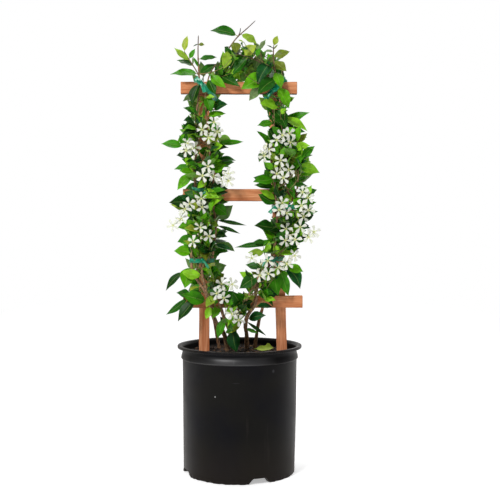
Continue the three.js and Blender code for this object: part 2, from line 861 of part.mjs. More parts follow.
// Leaves seen at a place of their own: stem, line, height of the root, tip [x, y, z] and width
const namedLeaves = [
  [2, 0, 883, [-59, -16, 897], 22],
  [2, 0, 872, [-7, -31, 847], 20],
  [2, 0, 856, [-31, -34, 815], 21],
  [2, 0, 887, [36, -20, 869], 19],
  [2, 0, 812, [-2, -14, 784], 24],
  [3, 1, 841, [32, -33, 862], 25],
  [3, 1, 836, [-6, -20, 822], 17],
  [3, 1, 839, [-22, -17, 801], 22],
  [3, 0, 806, [4, -36, 776], 32],
  [3, 0, 848, [30, -3, 818], 22],
  [3, 0, 854, [51, -21, 876], 12],
  [3, 0, 852, [29, -15, 873], 10],
  [4, 0, 836, [34, -31, 784], 26],
  [4, 0, 797, [38, -34, 764], 27],
  [4, 0, 863, [77, -18, 884], 12],
  [4, 0, 852, [50, -18, 854], 9],
  [4, 0, 843, [100, -26, 852], 21],
  [4, 0, 832, [94, -31, 812], 21],
  [4, 0, 812, [84, -35, 777], 22],
  [4, 0, 783, [102, -36, 739], 26],
  [4, 0, 736, [44, -37, 746], 26],
  [5, 0, 722, [139, -8, 733], 20],
  [0, 2, 851, [-107, -12, 886], 14],
  [0, 2, 833, [-129, -20, 859], 16],
  [0, 2, 836, [-90, -22, 856], 10],
  [0, 2, 822, [-128, -2, 841], 20],
  [0, 0, 806, [-140, -22, 809], 28],
  [0, 0, 836, [-46, -21, 842], 12],
  [0, 0, 819, [-92, -30, 838], 6],
  [0, 1, 824, [-46, -17, 799], 6],
  [0, 0, 804, [-46, -8, 831], 18],
  [0, 0, 790, [-107, -24, 800], 10],
  [0, 0, 788, [-98, -30, 744], 24],
  [0, 1, 806, [-27, -33, 778], 20],
  [0, 1, 796, [-48, -36, 764], 20],
  [0, 1, 763, [-56, -32, 727], 20],
  [0, 0, 754, [-101, -24, 728], 18],
  [0, 5, 660, [-158, -22, 667], 20],
  [1, 0, 668, [8, -12, 674], 14],
  [1, 0, 632, [-8, -24, 634], 20],
  [0, 0, 606, [-127, -20, 573], 20],
  [0, 1, 592, [-84, -40, 576], 15],
  [1, 0, 574, [-10, -26, 559], 25],
  [1, 0, 540, [-26, -22, 522], 24],
  [0, 0, 528, [-140, -14, 546], 18],
  [1, 0, 512, [14, -22, 505], 10],
  [1, 0, 501, [2, -18, 486], 8],
  [1, 0, 478, [-25, -20, 479], 15],
  [0, 0, 480, [-127, -18, 467], 16],
  [1, 0, 462, [-15, -20, 453], 9],
  [1, 0, 447, [-22, -24, 451], 14],
  [0, 0, 444, [-132, -24, 450], 24],
  [0, 0, 418, [-110, -36, 376], 30],
  [0, 4, 408, [-151, -24, 370], 16],
  [0, 3, 356, [-151, -14, 318], 14],
  [0, 3, 352, [-127, -30, 311], 27],
  [0, 3, 347, [-114, -38, 362], 28],
  [0, 3, 354, [-127, -5, 366], 20],
  [0, 0, 338, [-68, -34, 313], 16],
  [1, 0, 338, [-54, -34, 314], 17],
  [1, 0, 314, [-47, -26, 273], 21],
  [3, 0, 292, [-7, -24, 244], 28],
  [4, 0, 306, [55, -22, 278], 7],
  [4, 0, 290, [38, -8, 282], 10],
  [3, 0, 400, [0, -31, 374], 26],
  [3, 0, 414, [12, -20, 424], 18],
  [4, 2, 411, [76, -36, 360], 27],
  [4, 2, 413, [98, -30, 358], 22],
  [4, 2, 415, [123, -22, 374], 26],
  [4, 2, 416, [128, -33, 410], 24],
  [3, 2, 463, [-11, -16, 459], 12],
  [3, 2, 468, [28, -26, 469], 12],
  [4, 1, 620, [163, -20, 608], 22],
  [3, 0, 735, [94, -33, 696], 26],
  [4, 0, 718, [138, -26, 695], 22],
  [3, 0, 588, [28, -26, 599], 20],
  [3, 0, 578, [30, -34, 584], 16],
  [3, 0, 552, [42, -36, 573], 16],
  [4, 0, 602, [110, -36, 553], 15],
  [3, 0, 478, [47, -32, 494], 28],
  [3, 0, 463, [78, -36, 439], 14],
];
const namedShifts = [0, -6, 6, -12, 12, -20, 20, -28];

// Rule leaves grow in opposite pairs, each turned a quarter from the last: stem, line, lowest and highest
const leafyRuns = [
  [0, 0, 436, 760],
  [0, 1, 396, 760],
  [0, 5, 622, 660],
  [1, 0, 352, 736],
  [2, 0, 372, 800],
  [3, 0, 384, 800],
  [4, 0, 424, 800],
  [4, 1, 512, 650],
  [5, 0, 372, 826],
];
const pairGap = 54;
const ruleTurns = [
  [0, 0],
  [22, 0],
  [-22, 0],
  [0, 24],
  [0, -24],
  [44, 10],
  [-44, 10],
  [30, -30],
  [-30, -30],
  [70, 0],
  [-70, 0],
  [100, 20],
  [-100, 20],
];
const ruleShares = [1, 0.78];
const heightSpread = 12;
const headingSpread = 60;
const lowestLift = -22;
const liftSpread = 60;
const youngShare = 0.8;
const leafLength = 40;
const lengthSpread = 13;
const leafSlimness = 0.48;
const slimnessSpread = 0.1;

// A leaf blade: pointed, widest near the middle, folded up a little along the midrib and drooping to the tip.
// Its corners are the root, pairs on the edges, one on the midrib and the tip.
const roundedBlade = {
  edges: [
    { at: 0.3, half: 0.46 },
    { at: 0.66, half: 0.42 },
  ],
  rib: 0.66,
  outline: [0, 2, 4, 6, 3, 1],
  skin: [
    [0, 2, 1],
    [1, 2, 5],
    [1, 5, 3],
    [2, 4, 5],
    [3, 5, 6],
    [5, 4, 6],
  ],
};
const plainBlade = {
  edges: [{ at: 0.45, half: 0.5 }],
  rib: 0.5,
  outline: [0, 2, 4, 1],
  skin: [
    [0, 2, 3],
    [0, 3, 1],
    [1, 3, 4],
    [3, 2, 4],
  ],
};
const bladeFold = 0.25;
const bladeDroop = 0.1;
const leafRoot = 0.9;
const leafFree = 0.25;

function leafBlade(leaf, from) {
  const { root, along, face, length, width, shape } = leaf;
  const side = cross(along, face);
  const spineAt = (share) => plus(plus(root, along, length * share), face, -bladeDroop * length * share ** 2);
  const edges = shape.edges.flatMap(({ at, half }) => {
    const raised = plus(spineAt(at), face, half * width * bladeFold);
    return [plus(raised, side, -half * width), plus(raised, side, half * width)];
  });
  const upper = [spineAt(from), ...edges, spineAt(shape.rib), spineAt(1)];
  const corners = [
    ...upper.map((point) => plus(point, face, bladeThick / 2)),
    ...upper.map((point) => plus(point, face, -bladeThick / 2)),
  ];
  const count = upper.length;
  const faces = [];
  for (const [a, b, c] of shape.skin) {
    faces.push([a, b, c], [a + count, c + count, b + count]);
  }
  shape.outline.forEach((here, index) => {
    const next = shape.outline[(index + 1) % shape.outline.length];
    faces.push([here, here + count, next + count], [here, next + count, next]);
  });
  return solidFromFaces(corners, faces);
}

function growLeaf(stemIndex, choices) {
  const stem = stems[stemIndex];
  for (const leaf of choices) {
    const whole = leafBlade(leaf, 0);
    const free = leafBlade(leaf, (leaf.radius + leafRoot) / leaf.length);
    const blade = leafBlade(leaf, leafFree);
    const ownWood = (other) => stem.wood.includes(other.solid);
    const own = (other) => other.owner === stem.name;
    if (isClear(free, ownWood) && isClear(blade) && isClear(whole, own)) {
      place(whole, stem.name);
      stem.growth.push(whole);
      return;
    }
  }
}

// The blade's upper face turns to the light: up, and out to the side on which the leaf stands.
function faceOf(along, sway, rise) {
  const out = along[1] > 0.4 ? 0.8 : -0.8;
  return across([sway, out, rise], along);
}

namedLeaves.forEach(([stemIndex, lineIndex, height, tip, width], index) => {
  const site = siteAt(stems[stemIndex].lines[lineIndex], height);
  const draw = drawsFrom(index + 3000);
  const sway = (draw() - 0.5) * 0.9;
  const rise = 0.15 + draw() * 0.6;
  const choices = namedShifts.map((shift) => {
    const reach = plus([tip[0], tip[1] + shift, tip[2]], site.point, -1);
    const along = unit(reach);
    const face = faceOf(along, sway, rise);
    const length = Math.hypot(...reach);
    return { root: site.point, along, face, length, width, radius: site.radius, shape: roundedBlade };
  });
  growLeaf(stemIndex, choices);
});

leafyRuns.forEach(([stemIndex, lineIndex, from, to], runIndex) => {
  const line = stems[stemIndex].lines[lineIndex];
  const pairs = Math.floor((to - from) / pairGap);
  for (let pair = 0; pair <= pairs; pair += 1) {
    for (const hand of [-1, 1]) {
      const draw = drawsFrom(runIndex * 200 + pair * 4 + hand + 5000);
      const site = siteAt(line, from + pair * pairGap + (draw() - 0.5) * heightSpread);
      const right = across([1, 0, 0], site.forward);
      const back = cross(site.forward, right);
      const heading = pair % 2 ? 90 * hand : 90 - 90 * hand;
      const turned = heading + (draw() - 0.5) * headingSpread;
      const lifted = lowestLift + draw() * liftSpread;
      const young = pair > pairs - 2 ? youngShare : 1;
      const length = (leafLength + lengthSpread * draw()) * young;
      const width = length * (leafSlimness + slimnessSpread * draw());
      const sway = (draw() - 0.5) * 1.1;
      const rise = 0.1 + draw() * 0.8;
      const choices = [];
      for (const share of ruleShares) {
        for (const [turn, lift] of ruleTurns) {
          const radial = between(right, back, turned + turn);
          const along = unit(between(radial, site.forward, lifted + lift));
          const face = faceOf(along, sway, rise);
          choices.push({
            root: site.point,
            along,
            face,
            length: length * share,
            width: width * share,
            radius: site.radius,
            shape: plainBlade,
          });
        }
      }
      growLeaf(stemIndex, choices);
    }
  }
});

for (const stem of stems) {
  addPiece(stem.name, joined(stem.growth), leafColour, 0.45);
}

// Fallen leaf: a yellowed blade standing on its long edge beside the right stems, let down to the mix
const fallenFrom = [31, 8, 256];
const fallenTo = [72, 16, 260];
const fallenWidth = 21;
const fallenReach = plus(fallenTo, fallenFrom, -1);
const fallenAlong = unit(fallenReach);
let fallen = leafBlade(
  {
    root: fallenFrom,
    along: fallenAlong,
    face: across([0.1, -0.8, 0.7], fallenAlong),
    length: Math.hypot(...fallenReach),
    width: fallenWidth,
    shape: roundedBlade,
  },
  0,
);
const fallenSteps = 12;
const fallenSearch = 30;
for (let step = 0; step < fallenSteps; step += 1) {
  fallen = fallen.translate([0, 0, gap - fallen.minGap(soil, fallenSearch)]);
}
addPiece("fallen_leaf", fallen, fallenColour, 0.6);

export default object;
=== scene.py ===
import bpy
import numpy as np
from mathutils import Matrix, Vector


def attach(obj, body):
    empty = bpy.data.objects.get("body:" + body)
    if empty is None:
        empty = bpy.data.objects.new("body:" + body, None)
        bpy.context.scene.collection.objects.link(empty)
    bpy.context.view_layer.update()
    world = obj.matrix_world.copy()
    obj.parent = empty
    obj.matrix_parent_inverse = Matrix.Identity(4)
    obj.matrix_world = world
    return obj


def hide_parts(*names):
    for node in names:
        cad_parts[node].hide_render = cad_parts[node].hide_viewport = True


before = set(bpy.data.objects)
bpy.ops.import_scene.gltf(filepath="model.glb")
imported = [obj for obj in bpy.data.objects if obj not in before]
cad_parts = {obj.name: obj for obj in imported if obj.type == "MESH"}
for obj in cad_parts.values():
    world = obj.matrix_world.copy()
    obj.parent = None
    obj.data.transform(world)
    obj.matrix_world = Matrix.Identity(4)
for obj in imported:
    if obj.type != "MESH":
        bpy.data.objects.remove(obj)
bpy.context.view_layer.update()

# The photograph's view: the eye is 1.74 m in front of the pot, a little under half a metre up,
# and looks almost level at the middle of the trellis.
eye_place = Vector((0, -1.744, 0.4816))
eye_target = Vector((0.0213, 0, 0.4505))
camera = bpy.data.objects.new("camera", bpy.data.cameras.new("camera"))
camera.data.sensor_width = 36
camera.data.lens = 61.34
camera.location = eye_place
camera.rotation_euler = (eye_target - eye_place).to_track_quat("-Z", "Y").to_euler()
bpy.context.collection.objects.link(camera)
bpy.context.scene.camera = camera


# Nursery pot: a black blow-moulded polyethylene can. It has a rolled lip, a bead under it,
# a raised floor inside a foot ring and four drain notches in the foot.
pot_lip_radius = 127
pot_lip_wide = 7.4
pot_lip_high = 5.6
pot_high = 257
pot_bead_high = 13
pot_foot_inner = 101
pot_low_radius = 115
pot_high_radius = 116.8
pot_shoulder = 230
pot_wall = 2.4
pot_floor = 12.5
pot_bend = 1.6
pot_notch_wide = 43
pot_notch_narrow = 25
pot_notch_high = 11
pot_notch_radius = 108
pot_notch_angles = (20, 110, 200, 290)
pot_nick_high = 3
pot_dent_deep = 5
pot_dent_high = 27
pot_columns = 288


def linear(hex_colour):
    """An sRGB hex colour as linear red, green, blue and 1."""
    value = np.array([int(hex_colour[at : at + 2], 16) for at in (1, 3, 5)]) / 255
    value = np.where(value <= 0.04045, value / 12.92, ((value + 0.055) / 1.055) ** 2.4)
    return (*value.tolist(), 1.0)


def linear_rows(*hex_colours):
    """Hex colours as rows of linear red, green and blue."""
    return np.array([linear(colour)[:3] for colour in hex_colours])


def nodes_in(tree):
    """The function that adds nodes to a tree, which is emptied first."""
    tree.nodes.clear()

    def add(kind, inputs=(), stops=(), out=0, **settings):
        """One node with its settings. Each input takes a value or the socket that feeds it, and a colour
        ramp takes stops of a place and a hex colour. The output asked for is given back."""
        made = tree.nodes.new("ShaderNode" + kind)
        for key, value in settings.items():
            setattr(made, key, value)
        for index, (place, colour) in enumerate(stops):
            ramp = made.color_ramp.elements
            stop = ramp[index] if index < 2 else ramp.new(place)
            stop.position = place
            stop.color = linear(colour)
        for key, value in dict(inputs).items():
            if isinstance(value, bpy.types.NodeSocket):
                tree.links.new(value, made.inputs[key])
            else:
                made.inputs[key].default_value = value
        return made.outputs[out] if len(made.outputs) else made

    return add


def new_material(name):
    """A material and the function that adds nodes to it."""
    made = bpy.data.materials.new(name)
    made.use_nodes = True
    return made, nodes_in(made.node_tree)


def unit(vectors):
    """Each vector divided by its length."""
    return vectors / np.linalg.norm(vectors, axis=-1, keepdims=True)


def turns(count):
    """Even angles all round a ring."""
    return np.arange(count) * 2 * np.pi / count


def lumps(x, y, size, seed):
    """Smooth random heights from -1 to 1: draws on a square lattice, blended with 3t² - 2t³."""
    draws = np.random.default_rng(seed).uniform(-1, 1, (64, 64))
    i = np.floor(x / size).astype(int)
    j = np.floor(y / size).astype(int)
    s = x / size - i
    t = y / size - j
    s = s * s * (3 - 2 * s)
    t = t * t * (3 - 2 * t)
    low = draws[i % 64, j % 64] * (1 - s) + draws[(i + 1) % 64, j % 64] * s
    high = draws[i % 64, (j + 1) % 64] * (1 - s) + draws[(i + 1) % 64, (j + 1) % 64] * s
    return low * (1 - t) + high * t


def bent(start, bend, end, t):
    """The curve (1-t)² start + 2t(1-t) bend + t² end."""
    return (1 - t) ** 2 * start + 2 * t * (1 - t) * bend + t**2 * end


def rounded(line, radius, steps=5):
    """A line whose corners become curves, each from the radius before its corner to the radius after it."""
    line = np.asarray(line, float)
    corner = line[1:-1]
    cut = []
    for side in (line[:-2] - corner, line[2:] - corner):
        length = np.linalg.norm(side[:, :3], axis=-1, keepdims=True)
        cut.append(corner + side * np.minimum(radius / length, 0.48))
    t = np.linspace(0, 1, steps)[None, :, None]
    curve = bent(cut[0][:, None], corner[:, None], cut[1][:, None], t)
    return np.concatenate([line[:1], curve.reshape(-1, line.shape[1]), line[-1:]])


def tube_part(points, uv=None, tint=None, closed=False):
    """Faces over one or many tubes of (tubes, rows, ring, 3) points in millimetres. Quads join each
    ring point to the next and each ring to the next, and strips of quads close the two ends."""
    points = np.asarray(points, float)
    tubes, rows, ring = points.shape[:3]
    row, column = np.meshgrid(np.arange(rows if closed else rows - 1), np.arange(ring), indexing="ij")
    grid = np.stack([row, column, row, column + 1, row + 1, column + 1, row + 1, column], -1)
    grid = grid.reshape(-1, 4, 2)
    if not closed:
        j = np.arange(ring // 2 - 1)
        strip = np.stack([j, j + 1, ring - j - 2, ring - j - 1], -1)
        first = np.stack([np.zeros_like(strip), strip], -1)[:, ::-1]
        grid = np.concatenate([grid, first, np.stack([np.full_like(strip, rows - 1), strip], -1)])
    start = np.arange(tubes)[:, None, None] * rows * ring
    corners = start + (grid[..., 0] % rows * ring + grid[..., 1] % ring)[None]
    if uv is None:
        u = np.arange(rows + 1)[:, None] / (rows - 1) + np.zeros(ring + 1)
        uv = np.stack([u, np.arange(ring + 1) / ring + np.zeros((rows + 1, 1))], -1)[None]
    uv = np.broadcast_to(uv, (tubes, *uv.shape[1:]))
    return {
        "points": points.reshape(-1, 3),
        "faces": corners.reshape(-1, 4),
        "uv": uv[:, grid[..., 0], grid[..., 1]].reshape(-1, 2),
        "tint": np.broadcast_to(np.ones(3) if tint is None else tint, points.shape).reshape(-1, 3),
    }


def add_piece(name, parts, material, slot, *nodes, sharp=40):
    """One mesh from parts, in metres, that rides on the object and stands for its CAD nodes."""
    points, uv, tint = (np.concatenate([part[key] for part in parts]) for key in ("points", "uv", "tint"))
    starts = np.cumsum([0] + [len(part["points"]) for part in parts[:-1]])
    faces = np.concatenate([part["faces"] + start for part, start in zip(parts, starts)])
    mesh = bpy.data.meshes.new(name)
    mesh.vertices.add(len(points))
    mesh.vertices.foreach_set("co", points.ravel() / 1000)
    mesh.loops.add(faces.size)
    mesh.loops.foreach_set("vertex_index", faces.ravel())
    mesh.polygons.add(len(faces))
    mesh.polygons.foreach_set("loop_start", np.arange(len(faces)) * 4)
    mesh.update(calc_edges=True)
    mesh.polygons.foreach_set("use_smooth", np.ones(len(faces), bool))
    mesh.set_sharp_from_angle(angle=np.radians(sharp))
    mesh.uv_layers.new(name="surface").uv.foreach_set("vector", uv.ravel())
    colours = mesh.color_attributes.new("tint", "FLOAT_COLOR", "POINT")
    colours.data.foreach_set("color", np.column_stack([tint, np.ones(len(tint))]).ravel())
    mesh.materials.append(material)
    piece = bpy.data.objects.new(name, mesh)
    bpy.context.collection.objects.link(piece)
    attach(piece, "root")
    if nodes:
        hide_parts(*nodes)


def pot_surface():
    """The can turned about Z: radius and height follow the profile from under the floor, round the
    lip and down to the floor inside. Near a notch, heights under the floor rise to the notch's edge.
    The foot's edge has nicks up to 3 mm high, and on the right the foot is pressed in by 5 mm."""
    profile = [
        [2, pot_floor],
        [pot_foot_inner - 2, pot_floor],
        [pot_foot_inner, 0],
        [pot_low_radius, 0],
        [pot_low_radius + 0.1, 12],
        [(pot_low_radius + pot_high_radius) / 2, 120],
        [pot_high_radius, pot_shoulder],
        [pot_high_radius + 3.2, pot_shoulder + 1.2],
        [pot_high_radius + 1.9, pot_shoulder + 8],
        [pot_high_radius + 0.2, pot_shoulder + pot_bead_high],
        [pot_high_radius + 0.2, pot_high - pot_lip_high],
        [pot_lip_radius - 0.2, pot_high - pot_lip_high],
        [pot_lip_radius, pot_high],
        [pot_lip_radius - pot_lip_wide, pot_high],
        [pot_high_radius - 1, pot_high - 4.5],
        [pot_high_radius - pot_wall, pot_shoulder],
        [pot_low_radius - pot_wall, pot_wall],
        [pot_foot_inner + 3.2, pot_wall],
        [pot_foot_inner + 0.5, pot_floor + pot_wall],
        [2, pot_floor + pot_wall],
    ]
    line = rounded(profile, pot_bend, 6)
    foot = np.linspace(2, 11, 7)[:, None] * [0.01, 1] + [pot_low_radius, 0]
    after_foot = np.argmax((line[:, 0] > pot_low_radius - 1) & (line[:, 1] > 1.9))
    line = np.concatenate([line[:after_foot], foot, line[after_foot:]])
    radius = line[:, 0, None]
    height = line[:, 1, None]
    angle = np.linspace(0, 2 * np.pi, pot_columns, endpoint=False)[None]
    around = angle * pot_low_radius
    rise = 0
    for notch in pot_notch_angles:
        away = (angle - np.radians(notch - 90) + np.pi) % (2 * np.pi) - np.pi
        slant = pot_notch_wide / 2 - np.abs(away) * pot_notch_radius
        slant = slant / (pot_notch_wide - pot_notch_narrow) * 2
        rise = rise + np.clip(slant, 0, 1) * pot_notch_high
    outside = np.clip((radius - pot_low_radius + 2) / 2, 0, 1)
    nicks = np.clip(lumps(around, height * 0, 4.6, 6) * 7 - 0.6, 0, pot_nick_high) * outside
    height = height + np.where(height < pot_floor, np.maximum(rise, nicks) * (1 - height / pot_floor), 0)
    swell = lumps(angle * 20, height, 26, 3) * 0.35 + lumps(angle * 60, height, 40, 4) * 0.12
    bumps = lumps(angle * 110, height * 0, 4.2, 6) * np.clip(1 - height / 8, 0, 1) * 1.1
    right_side = np.exp(-(((angle + np.pi / 2) % (2 * np.pi) - np.pi / 2) ** 2) / 0.09)
    dent = pot_dent_deep * np.clip(1 - height / pot_dent_high, 0, 1) * right_side
    radius = radius + outside * ((swell + bumps) * np.clip((244 - height) / 20, 0, 1) - dent)
    return np.stack([radius * np.cos(angle), radius * np.sin(angle), height + 0 * angle], -1)[None]


# Recycled polyethylene, blow-moulded: blue-black to brown-black in patches of about 90 mm, with a satin
# skin. Clouds of gloss are 70 mm across, grit 2 mm, and rubbed streaks 17 mm wide and 200 mm long.
pot_plastic, add = new_material("blow_moulded_polyethylene")
place = add("TexCoord", out="Object")
cloud = add("TexNoise", {"Vector": place, "Scale": 14.0, "Detail": 4.0})
grit = add("TexNoise", {"Vector": place, "Scale": 420.0, "Detail": 2.0})
streak_place = add("Mapping", {"Vector": place, "Scale": (60, 60, 5)})
streak = add("TexNoise", {"Vector": streak_place, "Scale": 1.0, "Detail": 5.0})
rubbed = add("ValToRGB", {0: streak}, [(0.66, "#000000"), (0.8, "#ffffff")])
height = add("SeparateXYZ", {0: place}, out="Z")
lip_high = add("MapRange", {0: height, 1: 0.24, 2: 0.257})
dusty = add("Math", {0: lip_high, 1: grit}, operation="MULTIPLY")
dusty = add("MapRange", {0: dusty, 1: 0.4, 2: 0.8, 4: 0.12})
low_edge = add("MapRange", {0: height, 1: 0.09, 2: 0.0, 4: 0.4})
patch = add("TexNoise", {"Vector": place, "Scale": 11.0, "Detail": 2.0})
base = add("ValToRGB", {0: patch}, [(0.38, "#05050a"), (0.62, "#0c0b09")])
scuffed = add("Mix", {0: rubbed, 6: base, 7: linear("#211e1b")}, data_type="RGBA", out=2)
footed = add("Mix", {0: low_edge, 6: scuffed, 7: linear("#2a231c")}, data_type="RGBA", out=2)
coloured = add("Mix", {0: dusty, 6: footed, 7: linear("#8a7c6a")}, data_type="RGBA", out=2)
# Marks on the front: a white speck, a grey scuff, a faint scratch and the rubbed mould line on the bead.
for middle, size, strength, tone in (
    ((-0.0473, -0.106, 0.169), (0.0013, 0.004, 0.0018), 0.75, "#a4a4a4"),
    ((0.0653, -0.096, 0.217), (0.003, 0.006, 0.004), 0.16, "#6a6a70"),
    ((-0.0069, -0.116, 0.1966), (0.009, 0.004, 0.0008), 0.12, "#5a5a60"),
    ((-0.011, -0.118, 0.237), (0.0022, 0.006, 0.006), 0.3, "#3a3a3c"),
):
    away = add("VectorMath", {0: place, 1: middle}, operation="SUBTRACT")
    away = add("VectorMath", {0: away, 1: size}, operation="DIVIDE")
    away = add("VectorMath", {0: away}, operation="LENGTH", out="Value")
    near = add("MapRange", {0: away, 1: 1.0, 2: 0.5, 4: strength})
    coloured = add("Mix", {0: near, 6: coloured, 7: linear(tone)}, data_type="RGBA", out=2)
# The front of the bead is rubbed smoother than the wall and the lip.
handled = add("MapRange", {0: height, 1: 0.229, 2: 0.231, 3: 0.09, 4: 0.8})
above = add("MapRange", {0: height, 1: 0.242, 2: 0.246, 3: 1.0, 4: 0.12})
aside = add("SeparateXYZ", {0: place}, out="X")
aside = add("Math", {0: aside, 1: 0.012}, operation="ADD")
aside = add("Math", {0: aside}, operation="ABSOLUTE")
middle = add("MapRange", {0: aside, 1: 0.03, 2: 0.085, 3: 1.0, 4: 0.12})
handled = add("Math", {0: handled, 1: above}, operation="MULTIPLY")
handled = add("Math", {0: handled, 1: middle}, operation="MULTIPLY")
handled = add("Math", {0: handled, 1: 0.09}, operation="MAXIMUM")
rough = add("MapRange", {0: cloud, 1: 0.3, 2: 0.7, 3: 0.36, 4: 0.5})
skin = add("Bump", {"Height": grit, "Strength": 0.12, "Distance": 0.0004})
waves = add("Bump", {"Height": streak, "Strength": 0.25, "Distance": 0.0008, "Normal": skin})
shader = add("BsdfPrincipled", {
    "IOR": 1.5, "Sheen Weight": 0.03, "Sheen Roughness": 0.4, "Sheen Tint": linear("#e0b488"),
    "Base Color": coloured, "Specular IOR Level": handled, "Roughness": rough, "Normal": waves,
})
add("OutputMaterial", {0: shader})
add_piece("nursery_pot", [tube_part(pot_surface())], pot_plastic, "pot_plastic", "pot", sharp=50)


# Potting mix: composted bark and peat, filled to 15 mm under the rim. Loose bark chips lie on it.
soil_top = 239
soil_columns = 224
bark_chip_count = 1500


def soil_surface():
    """The plug turned about Z. Its top is lumps of three sizes on a level that is highest in the middle."""
    reach = np.concatenate([[3, 60, 111.8, 112.1], np.full(9, 113), 113.6 * np.linspace(1, 0.012, 74)])
    level = np.concatenate([[15.3, 15.3, 15.3, 16.5], np.linspace(20, 236, 9), np.full(74, soil_top)])
    angle = np.linspace(0, 2 * np.pi, soil_columns, endpoint=False)[None]
    radius = reach[:, None]
    x = radius * np.cos(angle)
    y = radius * np.sin(angle)
    rough = lumps(x, y, 17, 21) * 1.6 + lumps(x, y, 5.5, 22) * 1.5 + lumps(x, y, 2.3, 23) * 0.9
    height = level[:, None] + (level[:, None] > 238) * (rough + 3 * (1 - radius / 113))
    return np.stack([x, y, height], -1)[None]


def bark_chips():
    """Flat chips: four rings of six points, narrow at both ends, each turned and tilted at random."""
    draw = np.random.default_rng(31)
    count = bark_chip_count
    reach = 110 * np.sqrt(draw.uniform(0, 1, count))
    angle = draw.uniform(0, 2 * np.pi, count)
    size = draw.uniform(3, 9, count) * draw.uniform(0.6, 1.2, count)
    middle = np.stack([reach * np.cos(angle), reach * np.sin(angle)], -1)
    lift = soil_top + draw.uniform(0.2, 3.2, count) + 3 * (1 - reach / 113)
    middle = np.column_stack([middle, lift])
    heading = draw.uniform(0, 2 * np.pi, count)
    tilt = draw.normal(0, 0.28, count)
    forward = unit(np.stack([np.cos(heading), np.sin(heading), tilt], -1))
    over = unit(np.column_stack([draw.normal(0, 0.35, (count, 2)), np.ones(count)]))
    up = unit(over - forward * (over * forward).sum(-1, keepdims=True))
    right = np.cross(up, -forward)
    turn = turns(6)
    place = np.array([-0.5, -0.38, 0.36, 0.5])[None, :, None]
    taper = np.array([0.55, 1, 0.9, 0.35])[None, :, None] * draw.uniform(0.75, 1.2, (count, 4, 6))
    wide = size[:, None, None] * draw.uniform(0.22, 0.42, (count, 1, 1)) * taper
    thick = size[:, None, None] * 0.14 * taper
    ring = (
        middle[:, None, None]
        + (size[:, None, None] * place)[..., None] * forward[:, None, None]
        + (wide * np.cos(turn))[..., None] * right[:, None, None]
        + (thick * np.sin(turn))[..., None] * up[:, None, None]
    )
    browns = linear_rows("#241812", "#38261a", "#54371f", "#77502f", "#9a7449")
    tint = browns[draw.choice(5, count, p=[0.34, 0.3, 0.2, 0.12, 0.04])]
    return ring, tint[:, None, None]


# Composted bark: dark brown and damp, so it is rough with hardly any gloss. Its crumbs are about 3 mm.
bark_mix, add = new_material("composted_bark")
place = add("TexCoord", out="Object")
tint = add("Attribute", attribute_name="tint", out="Color")
crumb = add("TexNoise", {"Vector": place, "Scale": 350.0, "Detail": 5.0})
shade = add("ValToRGB", {0: crumb}, [(0.3, "#6a6a6a"), (0.7, "#ffffff")])
mixed = add("Mix", {0: 1.0, 6: tint, 7: shade}, data_type="RGBA", blend_type="MULTIPLY", out=2)
rough_skin = add("Bump", {"Height": crumb, "Strength": 0.8, "Distance": 0.0012})
shader = add("BsdfPrincipled", {"Roughness": 0.9, "Base Color": mixed, "Normal": rough_skin})
add("OutputMaterial", {0: shader})
chips, chip_tint = bark_chips()
add_piece(
    "bark_potting_mix",
    [tube_part(soil_surface(), tint=linear_rows("#2c1e15")), tube_part(chips, tint=chip_tint)],
    bark_mix,
    "bark_mix",
    "potting_mix",
)


# Trellis: sawn cedar lath with a red-brown stain, two uprights behind three rungs. A rung is
# its lower edge, left end and right end.
upright_wide = 21
upright_deep = 10
upright_middle = 7
upright_low = 60
upright_high = 791
rung_deep = 11.7
rung_middle = -4.15
rung_high = 24.4
rungs = {"bottom": (332.8, -115, 128.6), "middle": (550.4, -115.2, 121), "top": (767.8, -119.5, 117)}
rung_tone = (0.79, 0.78, 0.72)
lath_rows = 60


def upright_x(side, z):
    """The middle of an upright at a height: the left one is plumb and the right one leans in."""
    return -72.7 + 0 * z if side == "left" else 84.2 - (z - 332) * 0.0311


def lath_surface(start, end, across, wide, deep, seed):
    """A rounded rectangle carried from start to end, a little narrower at both ends, with sawn waves."""
    start = np.array(start, float)
    forward = unit(np.array(end, float) - start)
    length = np.linalg.norm(np.array(end) - start)
    right = unit(np.array(across, float) - forward * (forward @ across))
    up = np.cross(forward, right)
    half = np.array([wide, deep]) / 2
    box = np.array([[-1, -1], [1, -1], [1, 1], [-1, 1]]) * half
    profile = rounded(np.concatenate([box[3:], box, box[:1]]), 1.1, 5)[1:-1]
    ends = np.array([0, 0.35, 0.9])
    along = np.concatenate([ends, np.linspace(3, length - 3, lath_rows), length - ends[::-1]])
    inset = np.concatenate([[0.9, 0.3, 0], np.zeros(lath_rows), [0, 0.3, 0.9]])
    scale = 1 - inset[:, None, None] / half
    turn = np.arange(len(profile))[None]
    wave = lumps(along[:, None], turn * 9, 30, seed) * 0.3
    wave = wave + lumps(along[:, None], turn * 9, 7, seed + 1) * 0.12
    flat = profile[None] * scale * (1 + wave[..., None] / half.max())
    points = start + along[:, None, None] * forward + flat[..., :1] * right + flat[..., 1:] * up
    edges = np.linalg.norm(np.diff(profile, axis=0, append=profile[:1]), axis=-1)
    round_it = np.concatenate([[0], np.cumsum(edges)])
    run = np.append(along, length)
    uv = np.stack([run[:, None] + 0 * round_it, round_it + 0 * run[:, None]], -1) / 1000 + seed * 0.37
    return points[None], uv[None]


